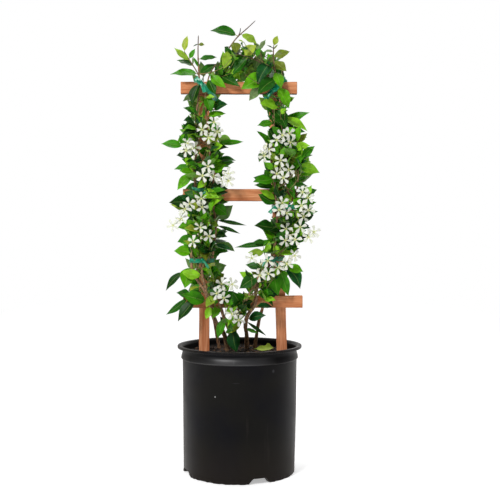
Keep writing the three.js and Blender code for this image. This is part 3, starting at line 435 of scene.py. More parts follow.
# Stained cedar: the stain sits darker in the open grain, 2 mm apart and 45 mm long. Faces that point down
# get painted shade in dark brown. Boards vary in bands 17 mm wide, and the saw left a mark each millimetre.
stained_cedar, add = new_material("stained_sawn_cedar")
run = add("UVMap", uv_map="surface")
grain_place = add("Mapping", {"Vector": run, "Scale": (22, 520, 1)})
grain = add("TexNoise", {"Vector": grain_place, "Scale": 1.0, "Detail": 5.0, "Distortion": 0.4})
board_place = add("Mapping", {"Vector": run, "Scale": (6, 60, 1)})
board = add("TexNoise", {"Vector": board_place, "Scale": 1.0, "Detail": 3.0, "Distortion": 1.2})
saw_place = add("Mapping", {"Vector": run, "Scale": (900, 40, 1)})
saw = add("TexNoise", {"Vector": saw_place, "Scale": 1.0, "Detail": 2.0})
stain = add("ValToRGB", {0: grain}, [(0.3, "#c88058"), (0.5, "#e29b70"), (0.72, "#f2b48a")])
cast = add("ValToRGB", {0: board}, [(0.32, "#dcc0ae"), (0.68, "#ffffff")])
coloured = add("Mix", {0: 1.0, 6: stain, 7: cast}, data_type="RGBA", blend_type="MULTIPLY", out=2)
# Painted shade: the more a face points down, the more its colour is mixed towards dark brown, standing in for
# the shade under the laths.
facing = add("TexCoord", out="Normal")
facing = add("SeparateXYZ", {0: facing}, out="Z")
under = add("MapRange", {0: facing, 1: -0.3, 2: -0.9, 4: 0.95})
coloured = add("Mix", {0: under, 6: coloured, 7: linear("#24140c")}, data_type="RGBA", out=2)
lath = add("Attribute", attribute_name="tint", out="Color")
coloured = add("Mix", {0: 1.0, 6: coloured, 7: lath}, data_type="RGBA", blend_type="MULTIPLY", out=2)
rough = add("MapRange", {0: grain, 1: 0.3, 2: 0.7, 3: 0.85, 4: 0.62})
open_grain = add("Bump", {"Height": grain, "Strength": 0.5, "Distance": 0.0007})
sawn = add("Bump", {"Height": saw, "Strength": 0.3, "Distance": 0.0004, "Normal": open_grain})
shader = add("BsdfPrincipled", {
    "IOR": 1.45, "Specular IOR Level": 0.2, "Base Color": coloured, "Roughness": rough, "Normal": sawn,
})
add("OutputMaterial", {0: shader})

for seed, side in enumerate(("left", "right")):
    ends = [(upright_x(side, z), upright_middle, z) for z in (upright_low, upright_high)]
    points, uv = lath_surface(*ends, (1, 0, 0), upright_wide, upright_deep, seed + 40)
    add_piece(
        f"upright_{side}", [tube_part(points, uv)], stained_cedar, "stained_wood", f"trellis_upright_{side}"
    )
for seed, (name, (low, left, right)) in enumerate(rungs.items()):
    ends = [(x, rung_middle, low + rung_high / 2) for x in (left, right)]
    points, uv = lath_surface(*ends, (0, 0, 1), rung_high, rung_deep, seed + 50)
    lath = tube_part(points, uv, rung_tone)
    add_piece(f"rung_{name}", [lath], stained_cedar, "stained_wood", f"trellis_rung_{name}")


# Nails: bright steel, driven from the back through an upright into its rung. A nail is turned from
# its point, past the shank, to the low dome of its head.
nail_reach = np.array([0.1, 0.9, 0.9, 2.3, 2.6, 2.6, 2.2, 0.2])[:, None]
nail_depth = np.array([-7, -5.4, 12.3, 12.3, 12.5, 12.9, 13.25, 13.3])[:, None]
nail_steel, add = new_material("zinc_plated_steel")
place = add("TexCoord", out="Object")
spangle = add("TexNoise", {"Vector": place, "Scale": 900.0, "Detail": 2.0})
plated = add("ValToRGB", {0: spangle}, [(0.3, "#7f8386"), (0.7, "#b4b7b8")])
shader = add("BsdfPrincipled", {"Metallic": 1.0, "Roughness": 0.38, "Base Color": plated})
add("OutputMaterial", {0: shader})
for name, (low, left, right) in rungs.items():
    z = low + rung_high / 2
    turn = -turns(20)
    for side in ("left", "right"):
        x = upright_x(side, z) + nail_reach * np.cos(turn)
        ring = np.stack([x, nail_depth + 0 * turn, z + nail_reach * np.sin(turn)], -1)
        nail = f"nail_{side}_{name}"
        add_piece(f"steel_{nail}", [tube_part(ring[None])], nail_steel, "nail_steel", nail)


# Vine wood: six twining stems that leave the mix near the middle. Each stem is a list of lines of
# [x, y, z, radius] from root to tip, the first one planted 45 mm deep, then its side shoots.
stems = {
    "stem_left_main": [
        [
            [-24, 15, 240, 5.2], [-31, 6, 279, 4.9], [-50, -9, 304, 4.4], [-58, -19, 335, 4.1],
            [-64, -20, 356, 3.8], [-74, -19, 374, 3.1], [-86, -18, 390, 2.9], [-96, -17, 406, 2.8],
            [-98, -16, 427, 2.7], [-97, -18, 455, 2.6], [-91, -20, 491, 2.5], [-96, -18, 530, 2.4],
            [-88, -17, 571, 2.3], [-93, -19, 613, 2.2], [-84, -18, 664, 2.1], [-89, -17, 712, 2],
            [-84, -17, 750, 1.9], [-80, -17, 780, 1.8], [-83, -17, 822, 1.5], [-84, -17, 850, 1.2],
            [-83, -17, 884, 0.9],
        ],
        [
            [-64, -20, 356, 3], [-69, -25, 376, 2.8], [-75, -28, 398, 2.6], [-76, -27, 427, 2.5],
            [-70, -28, 460, 2.4], [-64, -29, 500, 2.3], [-68, -28, 540, 2.2], [-72, -25, 571, 2.1],
            [-62, -29, 620, 2], [-58, -27, 664, 1.9], [-66, -25, 716, 1.8], [-70, -22, 750, 1.7],
            [-67, -20, 780, 1.6], [-60, -21, 808, 1.3], [-46, -20, 827, 1],
        ],
        [
            [-81, -17, 800, 1.3], [-88, -18, 814, 1.2], [-97, -17, 828, 1.1], [-105, -16, 841, 1],
            [-112, -14, 852, 0.9],
        ],
        [[-62, -19, 346, 1.6], [-80, -23, 350, 1.4], [-98, -22, 354, 1.2], [-111, -18, 358, 1]],
        [[-93, -17, 401, 1.5], [-104, -21, 405, 1.3], [-115, -23, 409, 1]],
        [[-93, -19, 614, 1.5], [-105, -22, 630, 1.4], [-112, -22, 648, 1.2], [-113, -20, 664, 1]],
    ],
    "stem_left_inner": [
        [
            [-12, 25, 240, 4], [-17, 14, 275, 3.8], [-27, -7, 300, 3.5], [-34, -18, 320, 3.4],
            [-40, -19, 340, 3.3], [-46, -19, 362, 3.1], [-53, -18, 400, 2.8], [-56, -16, 427, 2.7],
            [-52, -18, 465, 2.5], [-47, -18, 500, 2.4], [-53, -16, 540, 2.3], [-57, -15, 571, 2.2],
            [-47, -18, 618, 2], [-44, -16, 660, 1.8], [-51, -14, 700, 1.5], [-54, -8, 738, 1.1],
        ],
    ],
    "stem_left_rear": [
        [
            [-42, 36, 240, 3.8], [-52, 30, 300, 3.4], [-68, 24, 380, 3], [-75, 20, 427, 2.8],
            [-80, 24, 500, 2.5], [-72, 20, 571, 2.3], [-82, 24, 640, 2.1], [-74, 22, 710, 1.9],
            [-70, 19, 770, 1.8], [-60, 16, 795, 1.7], [-48, 8, 812, 1.6], [-38, -2, 832, 1.5],
            [-28, -9, 850, 1.4], [-14, -13, 870, 1.3], [-3, -15, 883, 1.2], [14, -16, 897, 1],
            [32, -16, 914, 0.8],
        ],
        [[-3, -15, 883, 1], [1, -14, 890, 0.9], [2, -13, 900, 0.8]],
    ],
    "stem_cross_front": [
        [
            [-9, 5, 240, 4.2], [-12, -4, 275, 4], [-15, -15, 300, 3.8], [-9, -21, 320, 3.6],
            [1, -25, 337, 3.4], [15, -27, 352, 3.2], [28, -29, 376, 3], [45, -28, 410, 2.8],
            [64, -24, 432, 2.7], [72, -24, 462, 2.5], [75, -25, 501, 2.4], [76, -24, 532, 2.3],
            [70, -27, 590, 2.1], [62, -25, 640, 2], [70, -25, 694, 1.9], [67, -23, 734, 1.8],
            [65, -20, 771, 1.6], [57, -18, 803, 1.4], [46, -17, 834, 1.1], [40, -18, 856, 0.9],
        ],
        [
            [50, -17, 823, 1.2], [38, -22, 832, 1.1], [22, -25, 838, 1], [4, -26, 842, 0.9],
            [-8, -25, 846, 0.8],
        ],
        [[72, -24, 461, 1.4], [60, -20, 466, 1.2], [48, -17, 470, 1]],
    ],
    "stem_right_main": [
        [
            [15, 35, 240, 5], [15, 15, 275, 4.7], [11, -5, 297, 4.4], [15, -18, 317, 4.2],
            [27, -19, 334, 4], [34, -18, 348, 3.8], [32, -18, 364, 3.4], [34, -17, 382, 3.1],
            [50, -16, 408, 2.9], [71, -15, 432, 2.8], [84, -16, 462, 2.7], [94, -17, 501, 2.6],
            [98, -16, 532, 2.5], [101, -18, 572, 2.3], [97, -18, 623, 2.2], [88, -17, 673, 2],
            [84, -18, 718, 1.9], [82, -17, 750, 1.8], [79, -16, 779, 1.7], [71, -17, 815, 1.4],
            [68, -17, 842, 1.2], [69, -17, 864, 1],
        ],
        [
            [94, -17, 501, 2], [107, -22, 530, 1.9], [116, -23, 565, 1.7], [119, -22, 605, 1.5],
            [112, -20, 645, 1.1],
        ],
        [[50, -16, 408, 1.6], [63, -22, 410, 1.4], [76, -25, 412, 1.3], [96, -25, 416, 1]],
    ],
    "stem_right_rear": [
        [
            [31, 43, 240, 3.8], [40, 36, 300, 3.4], [62, 26, 380, 3], [80, 20, 432, 2.8],
            [94, 24, 480, 2.6], [92, 20, 532, 2.4], [104, 26, 600, 2.2], [98, 24, 660, 2],
            [92, 22, 716, 1.8], [80, 19, 771, 1.6], [84, 14, 800, 1.4], [92, 4, 826, 1],
        ],
    ],
}
stem_names = list(stems)
stem_ring = 12
stem_step = 3.2
stem_planted = 45
stem_bend = 12
leaf_pair_gap = 49
side_axis = (1.0, 0.0, 0.001)


def across(vectors, axis):
    """The part of each vector square to an axis, made one long."""
    vectors = np.asarray(vectors, float)
    return unit(vectors - axis * (vectors * axis).sum(-1, keepdims=True))


def path_frame(path):
    """The slope of a path at each point, and the directions right and back, square to it."""
    forward = unit(np.gradient(path, axis=-2))
    right = across(np.broadcast_to(side_axis, path.shape), forward)
    return forward, right, np.cross(forward, right)


def tube_rings(path, radius, ring):
    """Path point + radius (right cos a + back sin a), with right and back from the path's frame."""
    forward, right, back = path_frame(path)
    angle = turns(ring)[:, None]
    circle = np.cos(angle) * right[..., None, :] + np.sin(angle) * back[..., None, :]
    return path[..., None, :] + radius[..., None] * circle


def wood_part(line, planted, seed):
    """A stem line with rounded bends, ridged bark on thick wood, and a swelling at each leaf pair."""
    line = np.array(line, float)
    if planted:
        line = np.concatenate([line[:1] - [0, 0, stem_planted, 0], line])
    line = rounded(line, stem_bend, 6)
    reach = np.concatenate([[0], np.cumsum(np.linalg.norm(np.diff(line[:, :3], axis=0), axis=-1))])
    steps = np.linspace(0, reach[-1], int(reach[-1] / stem_step) + 4)
    line = np.stack([np.interp(steps, reach, line[:, axis]) for axis in range(4)], -1)
    steps = steps[:, None]
    turn = turns(stem_ring)
    thick = line[:, 3:]
    bark = lumps(steps * 0.35, turn * 3, 2.2, seed) * 0.09 + lumps(steps, turn * 2, 14, seed + 1) * 0.08
    joint = np.exp(-(((steps - 6) % leaf_pair_gap - 24) / 2.2) ** 2) * 0.22
    radius = thick * (1 + bark * np.clip(thick / 2.5, 0.4, 1.3) + joint * np.clip(2.6 / thick - 0.6, 0, 1))
    radius[-1] *= 0.3
    old = np.clip((thick - 1.4) / 2.2, 0, 1)
    young = np.clip((1.5 - thick) / 0.6, 0, 1)
    brown, tan, red = linear_rows("#a07a58", "#9a7450", "#4a2e20")
    tint = brown * old + tan * (1 - old) * (1 - young) + red * (1 - old) * young
    return tube_part(tube_rings(line[:, :3], radius, stem_ring)[None], tint=tint[None, :, None])


# Vine bark: grey-brown on old wood, tan on younger stems and dark red-brown on new shoots. Its cracks
# are about 2 mm apart and 8 mm long.
vine_bark, add = new_material("vine_bark")
place = add("TexCoord", out="Object")
tint = add("Attribute", attribute_name="tint", out="Color")
crack_place = add("Mapping", {"Vector": place, "Scale": (600, 600, 130)})
crack = add("TexNoise", {"Vector": crack_place, "Scale": 1.0, "Detail": 4.0})
shade = add("ValToRGB", {0: crack}, [(0.32, "#5d5550"), (0.6, "#ffffff")])
mixed = add("Mix", {0: 1.0, 6: tint, 7: shade}, data_type="RGBA", blend_type="MULTIPLY", out=2)
cracked = add("Bump", {"Height": crack, "Strength": 0.6, "Distance": 0.0006})
shader = add("BsdfPrincipled", {"Roughness": 0.72, "Base Color": mixed, "Normal": cracked})
add("OutputMaterial", {0: shader})
for index, (name, lines) in enumerate(stems.items()):
    parts = [wood_part(line, number == 0, index * 10 + number) for number, line in enumerate(lines)]
    add_piece(f"{name}_wood", parts, vine_bark, "vine", name)


# Ties: green stretch tape, about 11 mm wide, drawn round an upright and its stems and knotted in front.
# Each is [node, middle x, middle z, slant across the sight and tilt up to the back, in degrees].
ties = [
    ("tie_left_lower", -76, 429.5, 0, 0),
    ("tie_left_upper", -73, 588, 0, 30),
    ("tie_right_lower", 78, 433, 0, 0),
    ("tie_right_middle", 85, 538, 0, 0),
    ("tie_left_top", -71, 780, -45, 0),
    ("tie_right_top", 75, 780, 45, 0),
]
tape_wide = 11
tape_thick = 0.5


def node_corners(name):
    """All corners of a CAD node's mesh, in millimetres."""
    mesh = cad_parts[name].data
    corners = np.empty(len(mesh.vertices) * 3, np.float32)
    mesh.vertices.foreach_get("co", corners)
    return corners.reshape(-1, 3) * 1000.0


def tape_part(name, middle, right, back, level, seed):
    """A flat strip carried round the outermost points of the tie, in the tie's plane of right and back,
    with creases that run along it and a waist where it is drawn tight."""
    flat = (node_corners(name) - middle) @ np.stack([right, back], -1)
    look = np.linspace(0, 2 * np.pi, 240, endpoint=False)
    far = np.argmax(flat @ np.stack([np.cos(look), np.sin(look)]), axis=0)
    hull = flat[far[np.flatnonzero(np.diff(far, prepend=-1))]]
    hull = hull[np.linalg.norm(hull - np.roll(hull, 1, axis=0), axis=-1) > 0.05]
    line = rounded(np.concatenate([hull[-1:], hull, hull[:1]]), 4, 6)[1:-1]
    edges = np.linalg.norm(np.diff(line, axis=0, append=line[:1]), axis=-1)
    reach = np.concatenate([[0], np.cumsum(edges)])
    steps = np.linspace(0, reach[-1], 141)[:-1]
    loop = np.concatenate([line, line[:1]])
    path = np.stack([np.interp(steps, reach, loop[:, axis]) for axis in range(2)], -1)
    slope = unit(np.roll(path, -1, axis=0) - np.roll(path, 1, axis=0))
    out = np.stack([slope[:, 1], -slope[:, 0]], -1)
    turn = turns(20)
    share = np.cos(turn) / np.maximum(np.abs(np.cos(turn)), np.abs(np.sin(turn)) * 0.25 + 0.75)
    wide = tape_wide / 2 * (0.86 + 0.16 * lumps(steps, steps * 0, 17, seed))[:, None]
    folds = share[None] * 7 + steps[:, None] * 0.05
    crease = lumps(folds, steps[:, None] * 0.12 + 0 * share[None], 1.3, seed + 1)
    swell = np.sin(turn)[None] * tape_thick / 2 + crease * 0.38 - 0.45
    flat_part = path[:, None] + out[:, None] * swell[..., None]
    points = middle + flat_part @ np.stack([right, back]) + (share * wide)[..., None] * level
    return points[None], path


def knot_parts(middle, along, up, seed):
    """A knot: a lumpy bead of folded tape, and two tails that curl away from it and end square."""
    draw = np.random.default_rng(seed)
    turn = turns(14)
    rise = np.linspace(-1, 1, 9)
    out = np.array([0, -1, 0])
    folds = 1 + 0.18 * np.sin(3 * turn + rise[:, None] * 4)
    bulk = np.sqrt(np.clip(1 - rise**2, 0.004, 1))[:, None] * folds
    bead = (
        middle
        + rise[:, None, None] * 5.2 * along
        + (bulk * np.cos(turn) * 4.2)[..., None] * up
        + (bulk * np.sin(turn) * 3.2)[..., None] * np.cross(along, up)
    )
    parts = [tube_part(bead[None])]
    for side in (-1, 1):
        t = np.linspace(0, 1, 14)[:, None]
        curl = draw.uniform(0.3, 0.9)
        path = middle + along * side * t * draw.uniform(11, 18) + out * (2 + 9 * t * (1 - t * curl))
        path = path + up * (draw.uniform(-9, 9) * t**1.5) - np.array([0, 0, 1]) * 9 * t**2
        forward = unit(np.gradient(path, axis=0))
        wide_way = across(up + out * 0.5 * side, forward)
        thin_way = np.cross(forward, wide_way)
        ring = turns(10)
        wide = (1.8 + 2.6 * np.sqrt(t)) * (1 + 0.1 * np.sin(9 * t + side))
        strip = (
            path[:, None]
            + (wide * np.cos(ring))[..., None] * wide_way[:, None]
            + (0.35 * np.sin(ring) + 0.9 * np.cos(2 * ring) * (1 - t * 0.6))[..., None] * thin_way[:, None]
        )
        parts.append(tube_part(strip[None]))
    return parts


# Stretch tape: soft green vinyl, thin and glossy, and paler where it is pulled, in patches of about 6 mm.
tie_tape, add = new_material("green_vinyl_tape")
place = add("TexCoord", out="Object")
stretch = add("TexNoise", {"Vector": place, "Scale": 160.0, "Detail": 3.0, "Distortion": 0.6})
stretched = add("ValToRGB", {0: stretch}, [(0.3, "#056044"), (0.55, "#0a8660"), (0.8, "#2fa680")])
pulled = add("Bump", {"Height": stretch, "Strength": 0.35, "Distance": 0.0006})
shader = add("BsdfPrincipled", {"IOR": 1.5, "Roughness": 0.34, "Base Color": stretched, "Normal": pulled})
add("OutputMaterial", {0: shader})
for index, (name, x, z, slant, tilt) in enumerate(ties):
    slant, tilt = np.radians([slant, tilt])
    right = np.array([np.cos(slant), 0, np.sin(slant)])
    level = np.array([-np.sin(slant) * np.cos(tilt), -np.sin(tilt), np.cos(slant) * np.cos(tilt)])
    back = np.cross(level, right)
    middle = np.array([x, 0, z], float)
    points, path = tape_part(name, middle, right, back, level, index * 7 + 90)
    front = path[np.argmin(path[:, 1] + np.abs(path[:, 0]) * 0.05)]
    shift = {"tie_left_top": -12, "tie_right_top": -2}.get(name, 0)
    knot = middle + (front[0] + shift) * right + (front[1] - 2.2) * back
    tape = [tube_part(points, closed=True), *knot_parts(knot, right, level, index + 400)]
    add_piece(name.replace("tie", "tape_tie"), tape, tie_tape, "tie_tape", name, sharp=60)


# Cymes: groups of white flowers on green stalks. A flower has a thin tube that opens into five petals
# cut slantwise like a pinwheel. Each row is [stem, line, height on it, depth, [[x, z] of each flower]].
cymes = [
    (0, 1, 676, -53, [[-74, 690], [-51, 705], [-61, 673], [-44, 686]]),
    (0, 0, 640, -48, [[-103, 664], [-106, 648], [-90, 656]]),
    (0, 1, 598, -56, [[-63, 617], [-73, 598], [-52, 598]]),
    (1, 0, 600, -46, [[-23, 603], [-22, 588], [-35, 590]]),
    (0, 0, 540, -50, [[-100, 543], [-76, 554], [-74, 537]]),
    (0, 0, 500, -48, [[-133, 500], [-116, 514], [-108, 533]]),
    (0, 1, 470, -57, [[-78, 497], [-60, 479], [-92, 468], [-80, 466]]),
    (1, 0, 366, -47, [[-36, 384], [-46, 365], [-31, 356], [-14, 384]]),
    (3, 0, 322, -46, [[-15, 324], [-2, 312]]),
    (4, 0, 664, -48, [[99, 683], [74, 670], [101, 664], [85, 679]]),
    (3, 0, 634, -50, [[49, 639], [58, 652]]),
    (3, 0, 606, -54, [[81, 629], [98, 611], [74, 603], [86, 594]]),
    (4, 1, 572, -48, [[125, 567], [136, 556]]),
    (3, 0, 560, -54, [[85, 545], [78, 531], [94, 525]]),
    (4, 1, 534, -50, [[122, 540], [137, 531], [128, 518]]),
    (4, 0, 476, -50, [[92, 494], [91, 470], [110, 472], [121, 497]]),
    (4, 0, 492, -44, [[138, 477], [148, 488]]),
    (3, 0, 414, -55, [[24, 436], [56, 430], [40, 401], [57, 405]]),
    (4, 0, 440, -52, [[94, 424], [110, 441], [76, 416]]),
    (2, 0, 636, 54, [[-96, 650], [-76, 660], [-80, 636]]),
    (5, 0, 582, 56, [[112, 598], [92, 604], [100, 580]]),
]
petal_reach = 15.6
flower_shifts = (0, -8, 8, -15, 15, -22, 22)
flower_spins = (0, 24, 48)
stalk_starts = [(rise, extra) for rise in (0, 6, -6, 12, -12, 18, -18, 24, -24) for extra in (0.1, 0.5)]
match_gap = 0.12
petal_rows = 8
petal_ring = 8


def draws_from(seed):
    """The same seeded draws between 0 and 1 that the solids are placed by."""
    state = (seed * 7919 + 104729) % 2147483647
    while True:
        state = state * 48271 % 2147483647
        yield state / 2147483647


def site_at(line, height):
    """The point, direction and radius of a stem line where it first passes a height."""
    index = 0
    while index < len(line) - 2 and line[index + 1][2] < height:
        index += 1
    start, end = np.array(line[index], float), np.array(line[index + 1], float)
    share = min(max((height - start[2]) / (end[2] - start[2]), 0), 1)
    here = start + (end - start) * share
    return here[:3], unit((end - start)[:3]), here[3]


def gap_to(points, corners):
    """How far each point is from the nearest corner."""
    return np.linalg.norm(np.atleast_2d(points)[:, None] - corners[None], axis=-1).min(axis=1)


def find_flowers(number, row):
    """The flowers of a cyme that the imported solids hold: middle, facing and spin in degrees. Then the hub
    and the start of the stalk."""
    stem, line_number, height, depth, places = row
    corners = node_corners(f"cyme_{number + 1:02d}")
    line = stems[stem_names[stem]][line_number]
    mean_x, mean_z = np.mean(places, axis=0)
    hub = np.array([mean_x, depth - np.sign(depth) * 17, mean_z - 3])
    flowers = []
    for index, (x, z) in enumerate(places):
        draw = draws_from(number * 20 + index + 1000)
        lean_x = (x - hub[0]) * 0.016 + (next(draw) - 0.5) * 0.7
        lean_z = (z - hub[2]) * 0.016 + (next(draw) - 0.4) * 0.7
        facing = unit(np.array([lean_x, np.sign(depth), lean_z]))
        spin = next(draw) * 72
        up = across([0, 0, 1], facing)
        side = np.cross(facing, up)
        choices = [(shift, turn) for shift in flower_shifts for turn in flower_spins]
        turned = np.radians([spin + turn - 15 for shift, turn in choices])[:, None]
        middles = np.array([[x, depth + shift, z] for shift, turn in choices], float)
        tips = middles + petal_reach * 0.96 * (np.cos(turned) * up + np.sin(turned) * side)
        gaps = gap_to(tips, corners)
        best = int(np.argmin(gaps))
        if gaps[best] < match_gap:
            flowers.append((middles[best], facing, spin + choices[best][1]))
    starts = []
    for rise, extra in stalk_starts:
        point, forward, radius = site_at(line, height + rise)
        start = point + across(hub - point, forward) * (radius + 0.3 + extra)
        starts.append((start, start + across(side_axis, unit(hub - start)) * 0.9, point))
    gaps = gap_to([corner for start, corner, point in starts], corners)
    stalk = starts[int(np.argmin(gaps))] if gaps.min() < match_gap else None
    return flowers, hub, stalk


def petal_surface(middle, up, side, facing, spin, draw):
    """Five petals: a point at share s from the throat and t between the two edges lies on the line
    between the edge curves L(s) and R(s). The tip bulges by 4t(1-t), and one edge stands higher."""
    count = len(middle)
    each = (count, 5, 1, 1)
    s = np.linspace(0, 1, petal_rows)[:, None]
    turn = turns(petal_ring)
    t = (1 + np.cos(turn)) / 2
    t = 0.5 + (t - 0.5) * (1 - 0.12 * s**10)

    def curve(a, b, c, d):
        a, b, c, d = (np.array(point, float) for point in (a, b, c, d))
        return ((1 - s) ** 3 * a + 3 * s * (1 - s) ** 2 * b + 3 * s**2 * (1 - s) * c + s**3 * d)[:, None]

    left = curve((1.0, -0.75), (4.8, -0.7), (8.6, -4.9), (13.9, -3.7))
    right = curve((1.0, 0.75), (4.6, 1.0), (7.8, 2.5), (11.6, 3.4))
    flat = left * (1 - t[..., None]) + right * t[..., None]
    bulge = 4 * t * (1 - t) * s**6
    x = flat[..., 0] + 0.7 * bulge
    y = flat[..., 1]
    bend = draw.uniform(-0.6, 1.0, each)
    curl = draw.uniform(0.5, 1.6, each)
    x = x[None, None] * draw.uniform(0.95, 1.03, each)
    throat = np.clip(1 - (x - 1.0) / 3.4, 0, 1) ** 2
    lift = -2.4 * throat + curl * (t - 0.45) * s * 1.6 - bend * s**2 * 1.2
    lift = lift + 0.35 * np.sin(t * 7 + s * 3) * s
    lift = lift + np.sin(turn) * 0.26 * np.sqrt(np.clip(np.sin(np.arccos(np.cos(turn))), 0, 1) + 0.05)
    angle = np.radians(spin[:, None] + np.arange(5) * 72)[..., None, None, None]
    middle, up, side, facing = (rows[:, None, None, None] for rows in (middle, up, side, facing))
    out = np.cos(angle) * up + np.sin(angle) * side
    aside = np.cos(angle) * side - np.sin(angle) * up
    points = middle + x[..., None] * out + (y[None, None] + 0 * x)[..., None] * aside
    points = points + lift[..., None] * facing
    white, cream = linear_rows("#d0d2c6", "#bcc880")
    warm = np.clip(1 - (x[..., None] - 1) / 6.5, 0, 1) ** 1.5
    tint = white * (1 - warm) + cream * warm
    shape = (count * 5, petal_rows, petal_ring, 3)
    return points.reshape(shape), tint.reshape(shape)


def flower_tubes(middle, facing, hub):
    """The corolla tube and stalk of each flower: a curve from the throat back to the hub, wide at the
    throat, swollen half way along the tube and thin from the calyx on. Gives their rings and paths."""
    t = np.array([0, 0.05, 0.12, 0.22, 0.32, 0.42, 0.5, 0.54, 0.6, 0.8, 1.0])[:, None]
    start = middle[:, None] - facing[:, None] * 0.9
    bend = middle[:, None] * 0.62 + hub * 0.38 - facing[:, None] * 2.4
    path = bent(start, bend, hub, t)
    radius = np.array([1.75, 1.2, 0.85, 0.95, 1.2, 1.0, 0.8, 0.9, 0.5, 0.5, 0.6])[:, None]
    return tube_rings(path, radius, 10), path


# Petals: thin, matt and waxy white, with a little light through them, and yellow-green at the throat.
# Fine ribs run along them, about 0.4 mm apart.
petal_wax, add = new_material("waxy_petal")
tint = add("Attribute", attribute_name="tint", out="Color")
run = add("UVMap", uv_map="surface")
vein_place = add("Mapping", {"Vector": run, "Scale": (1.5, 26, 1)})
vein = add("TexNoise", {"Vector": vein_place, "Scale": 1.0, "Detail": 2.0})
veined = add("Bump", {"Height": vein, "Strength": 0.3, "Distance": 0.0003})
shader = add("BsdfPrincipled", {
    "Roughness": 0.55, "Subsurface Weight": 0.25, "Subsurface Radius": (0.8, 0.9, 0.5),
    "Subsurface Scale": 0.002, "Base Color": tint, "Normal": veined,
})
add("OutputMaterial", {0: shader})

# Flower stalks: smooth and green, with a soft gloss.
green_stalk, add = new_material("green_stalk")
tint = add("Attribute", attribute_name="tint", out="Color")
shader = add("BsdfPrincipled", {"Roughness": 0.5, "Base Color": tint})
add("OutputMaterial", {0: shader})

calyx_row = 7
tube_tints = linear_rows(
    "#c9cf7c", "#d4d68c", "#e9e6c4", "#efeccf", "#ece8c4", "#e2e2ae", "#c3cf86", "#8aa653"
)[:, None]
anther_rise = np.array([-1.6, -0.9, 0.1, 0.7])[:, None, None]
anther_radius = np.array([0.6, 0.75, 0.5, 0.12])[:, None, None]
bud_radius = np.array([0.55, 0.7, 0.72, 0.7, 0.85, 1.45, 1.5, 0.9, 0.1])[:, None]
bud_tints = linear_rows(
    "#7d9b46", "#93ac58", "#cfd79a", "#e6e5bd", "#eeebd0", "#f3f0de", "#f3f0de", "#ecebc9", "#d7dd9f"
)[:, None]
sepal_half = np.array([0.5, 0.75, 0.5, 0.06])[:, None, None]
flower_middles = np.empty((0, 3))
for number, row in enumerate(cymes):
    flowers, hub, stalk = find_flowers(number, row)
    if not flowers:
        continue
    node = f"cyme_{number + 1:02d}"
    draw = np.random.default_rng(number + 700)
    middle, facing, spin = (np.array(list(column), float) for column in zip(*flowers))
    flower_middles = np.concatenate([flower_middles, middle])
    up = across([0, 0, 1], facing)
    side = np.cross(facing, up)
    petals, petal_tint = petal_surface(middle, up, side, facing, spin, draw)
    tubes, path = flower_tubes(middle, facing, hub)
    heads = [tube_part(petals, tint=petal_tint), tube_part(tubes[:, : calyx_row + 1], tint=tube_tints)]

    # The five anthers meet in a small yellow cone at the throat.
    angle = turns(8)[:, None]
    ring = np.sin(angle) * up[:, None] - np.cos(angle) * side[:, None]
    anthers = middle[:, None, None] + anther_rise * facing[:, None, None] + anther_radius * ring[:, None]
    heads.append(tube_part(anthers, tint=linear_rows("#d6d088")))

    # Several buds stand beside the flowers: slim, pointed and twisted.
    buds = int(draw.integers(5, 9))
    swing = draw.uniform(0, 2 * np.pi, buds)[:, None]
    fan = draw.uniform(5, 15, (buds, 1))
    aim = middle.mean(axis=0) - hub + fan * (np.cos(swing) * side[0] + np.sin(swing) * up[0])
    spread = unit(aim + [0, 0, 4])
    bud_long = draw.uniform(8, 15, buds)[:, None, None]
    bud_from = hub + spread * draw.uniform(4, 12, (buds, 1))
    share = np.linspace(0, 1, len(bud_radius))[:, None]
    lobes = 1 + 0.14 * np.cos(5 * turns(10) + share * 9)
    bud_path = bud_from[:, None] + bud_long * share * spread[:, None]
    heads.append(tube_part(tube_rings(bud_path, bud_radius * lobes, 10), tint=bud_tints))
    add_piece(f"{node}_flowers", heads, petal_wax, "petal", node, sharp=70)

    # Stalks: each flower stalk below its calyx, five sepals, the bud stalks and the common stalk.
    t = np.linspace(0, 1, 4)[:, None]
    bud_stalk = tube_rings(hub * (1 - t) + bud_from[:, None] * t, np.full((4, 1), 0.5), 6)
    low_tubes = tubes[:, calyx_row - 1 :]
    greens = [tube_part(rings, tint=linear_rows("#7a9a44")) for rings in (low_tubes, bud_stalk)]
    forward, right, back = (rows[:, calyx_row, None] for rows in path_frame(path))
    turn = turns(5)[:, None]
    way = np.cos(turn) * right + np.sin(turn) * back
    aside = np.cross(forward, way)
    sepal_line = path[:, calyx_row, None, None] + way[:, :, None] * (0.6 + 0.9 * t + 0.5 * t**2)
    sepal_line = sepal_line - forward[:, None] * 3.0 * t
    angle = turns(6)[:, None]
    sepals = (
        sepal_line[..., None, :]
        + sepal_half * np.cos(angle) * aside[:, :, None, None]
        - sepal_half * 0.25 * np.sin(angle) * way[:, :, None, None]
    )
    greens.append(tube_part(sepals.reshape(-1, 4, 6, 3), tint=linear_rows("#86a64e")))
    if stalk:
        start, corner, point = stalk
        t = np.linspace(0, 1, 12)[:, None]
        common = (point * 0.35 + start * 0.65) * (1 - t) + hub * t
        common = common + np.array([0, 0, 1]) * np.sin(np.pi * t) * 0.6
        rings = tube_rings(common[None], 0.95 + 0.65 * t**3, 8)
        greens.append(tube_part(rings, tint=linear_rows("#76934a")))
    add_piece(f"{node}_stalks", greens, green_stalk, "vine", node, sharp=60)


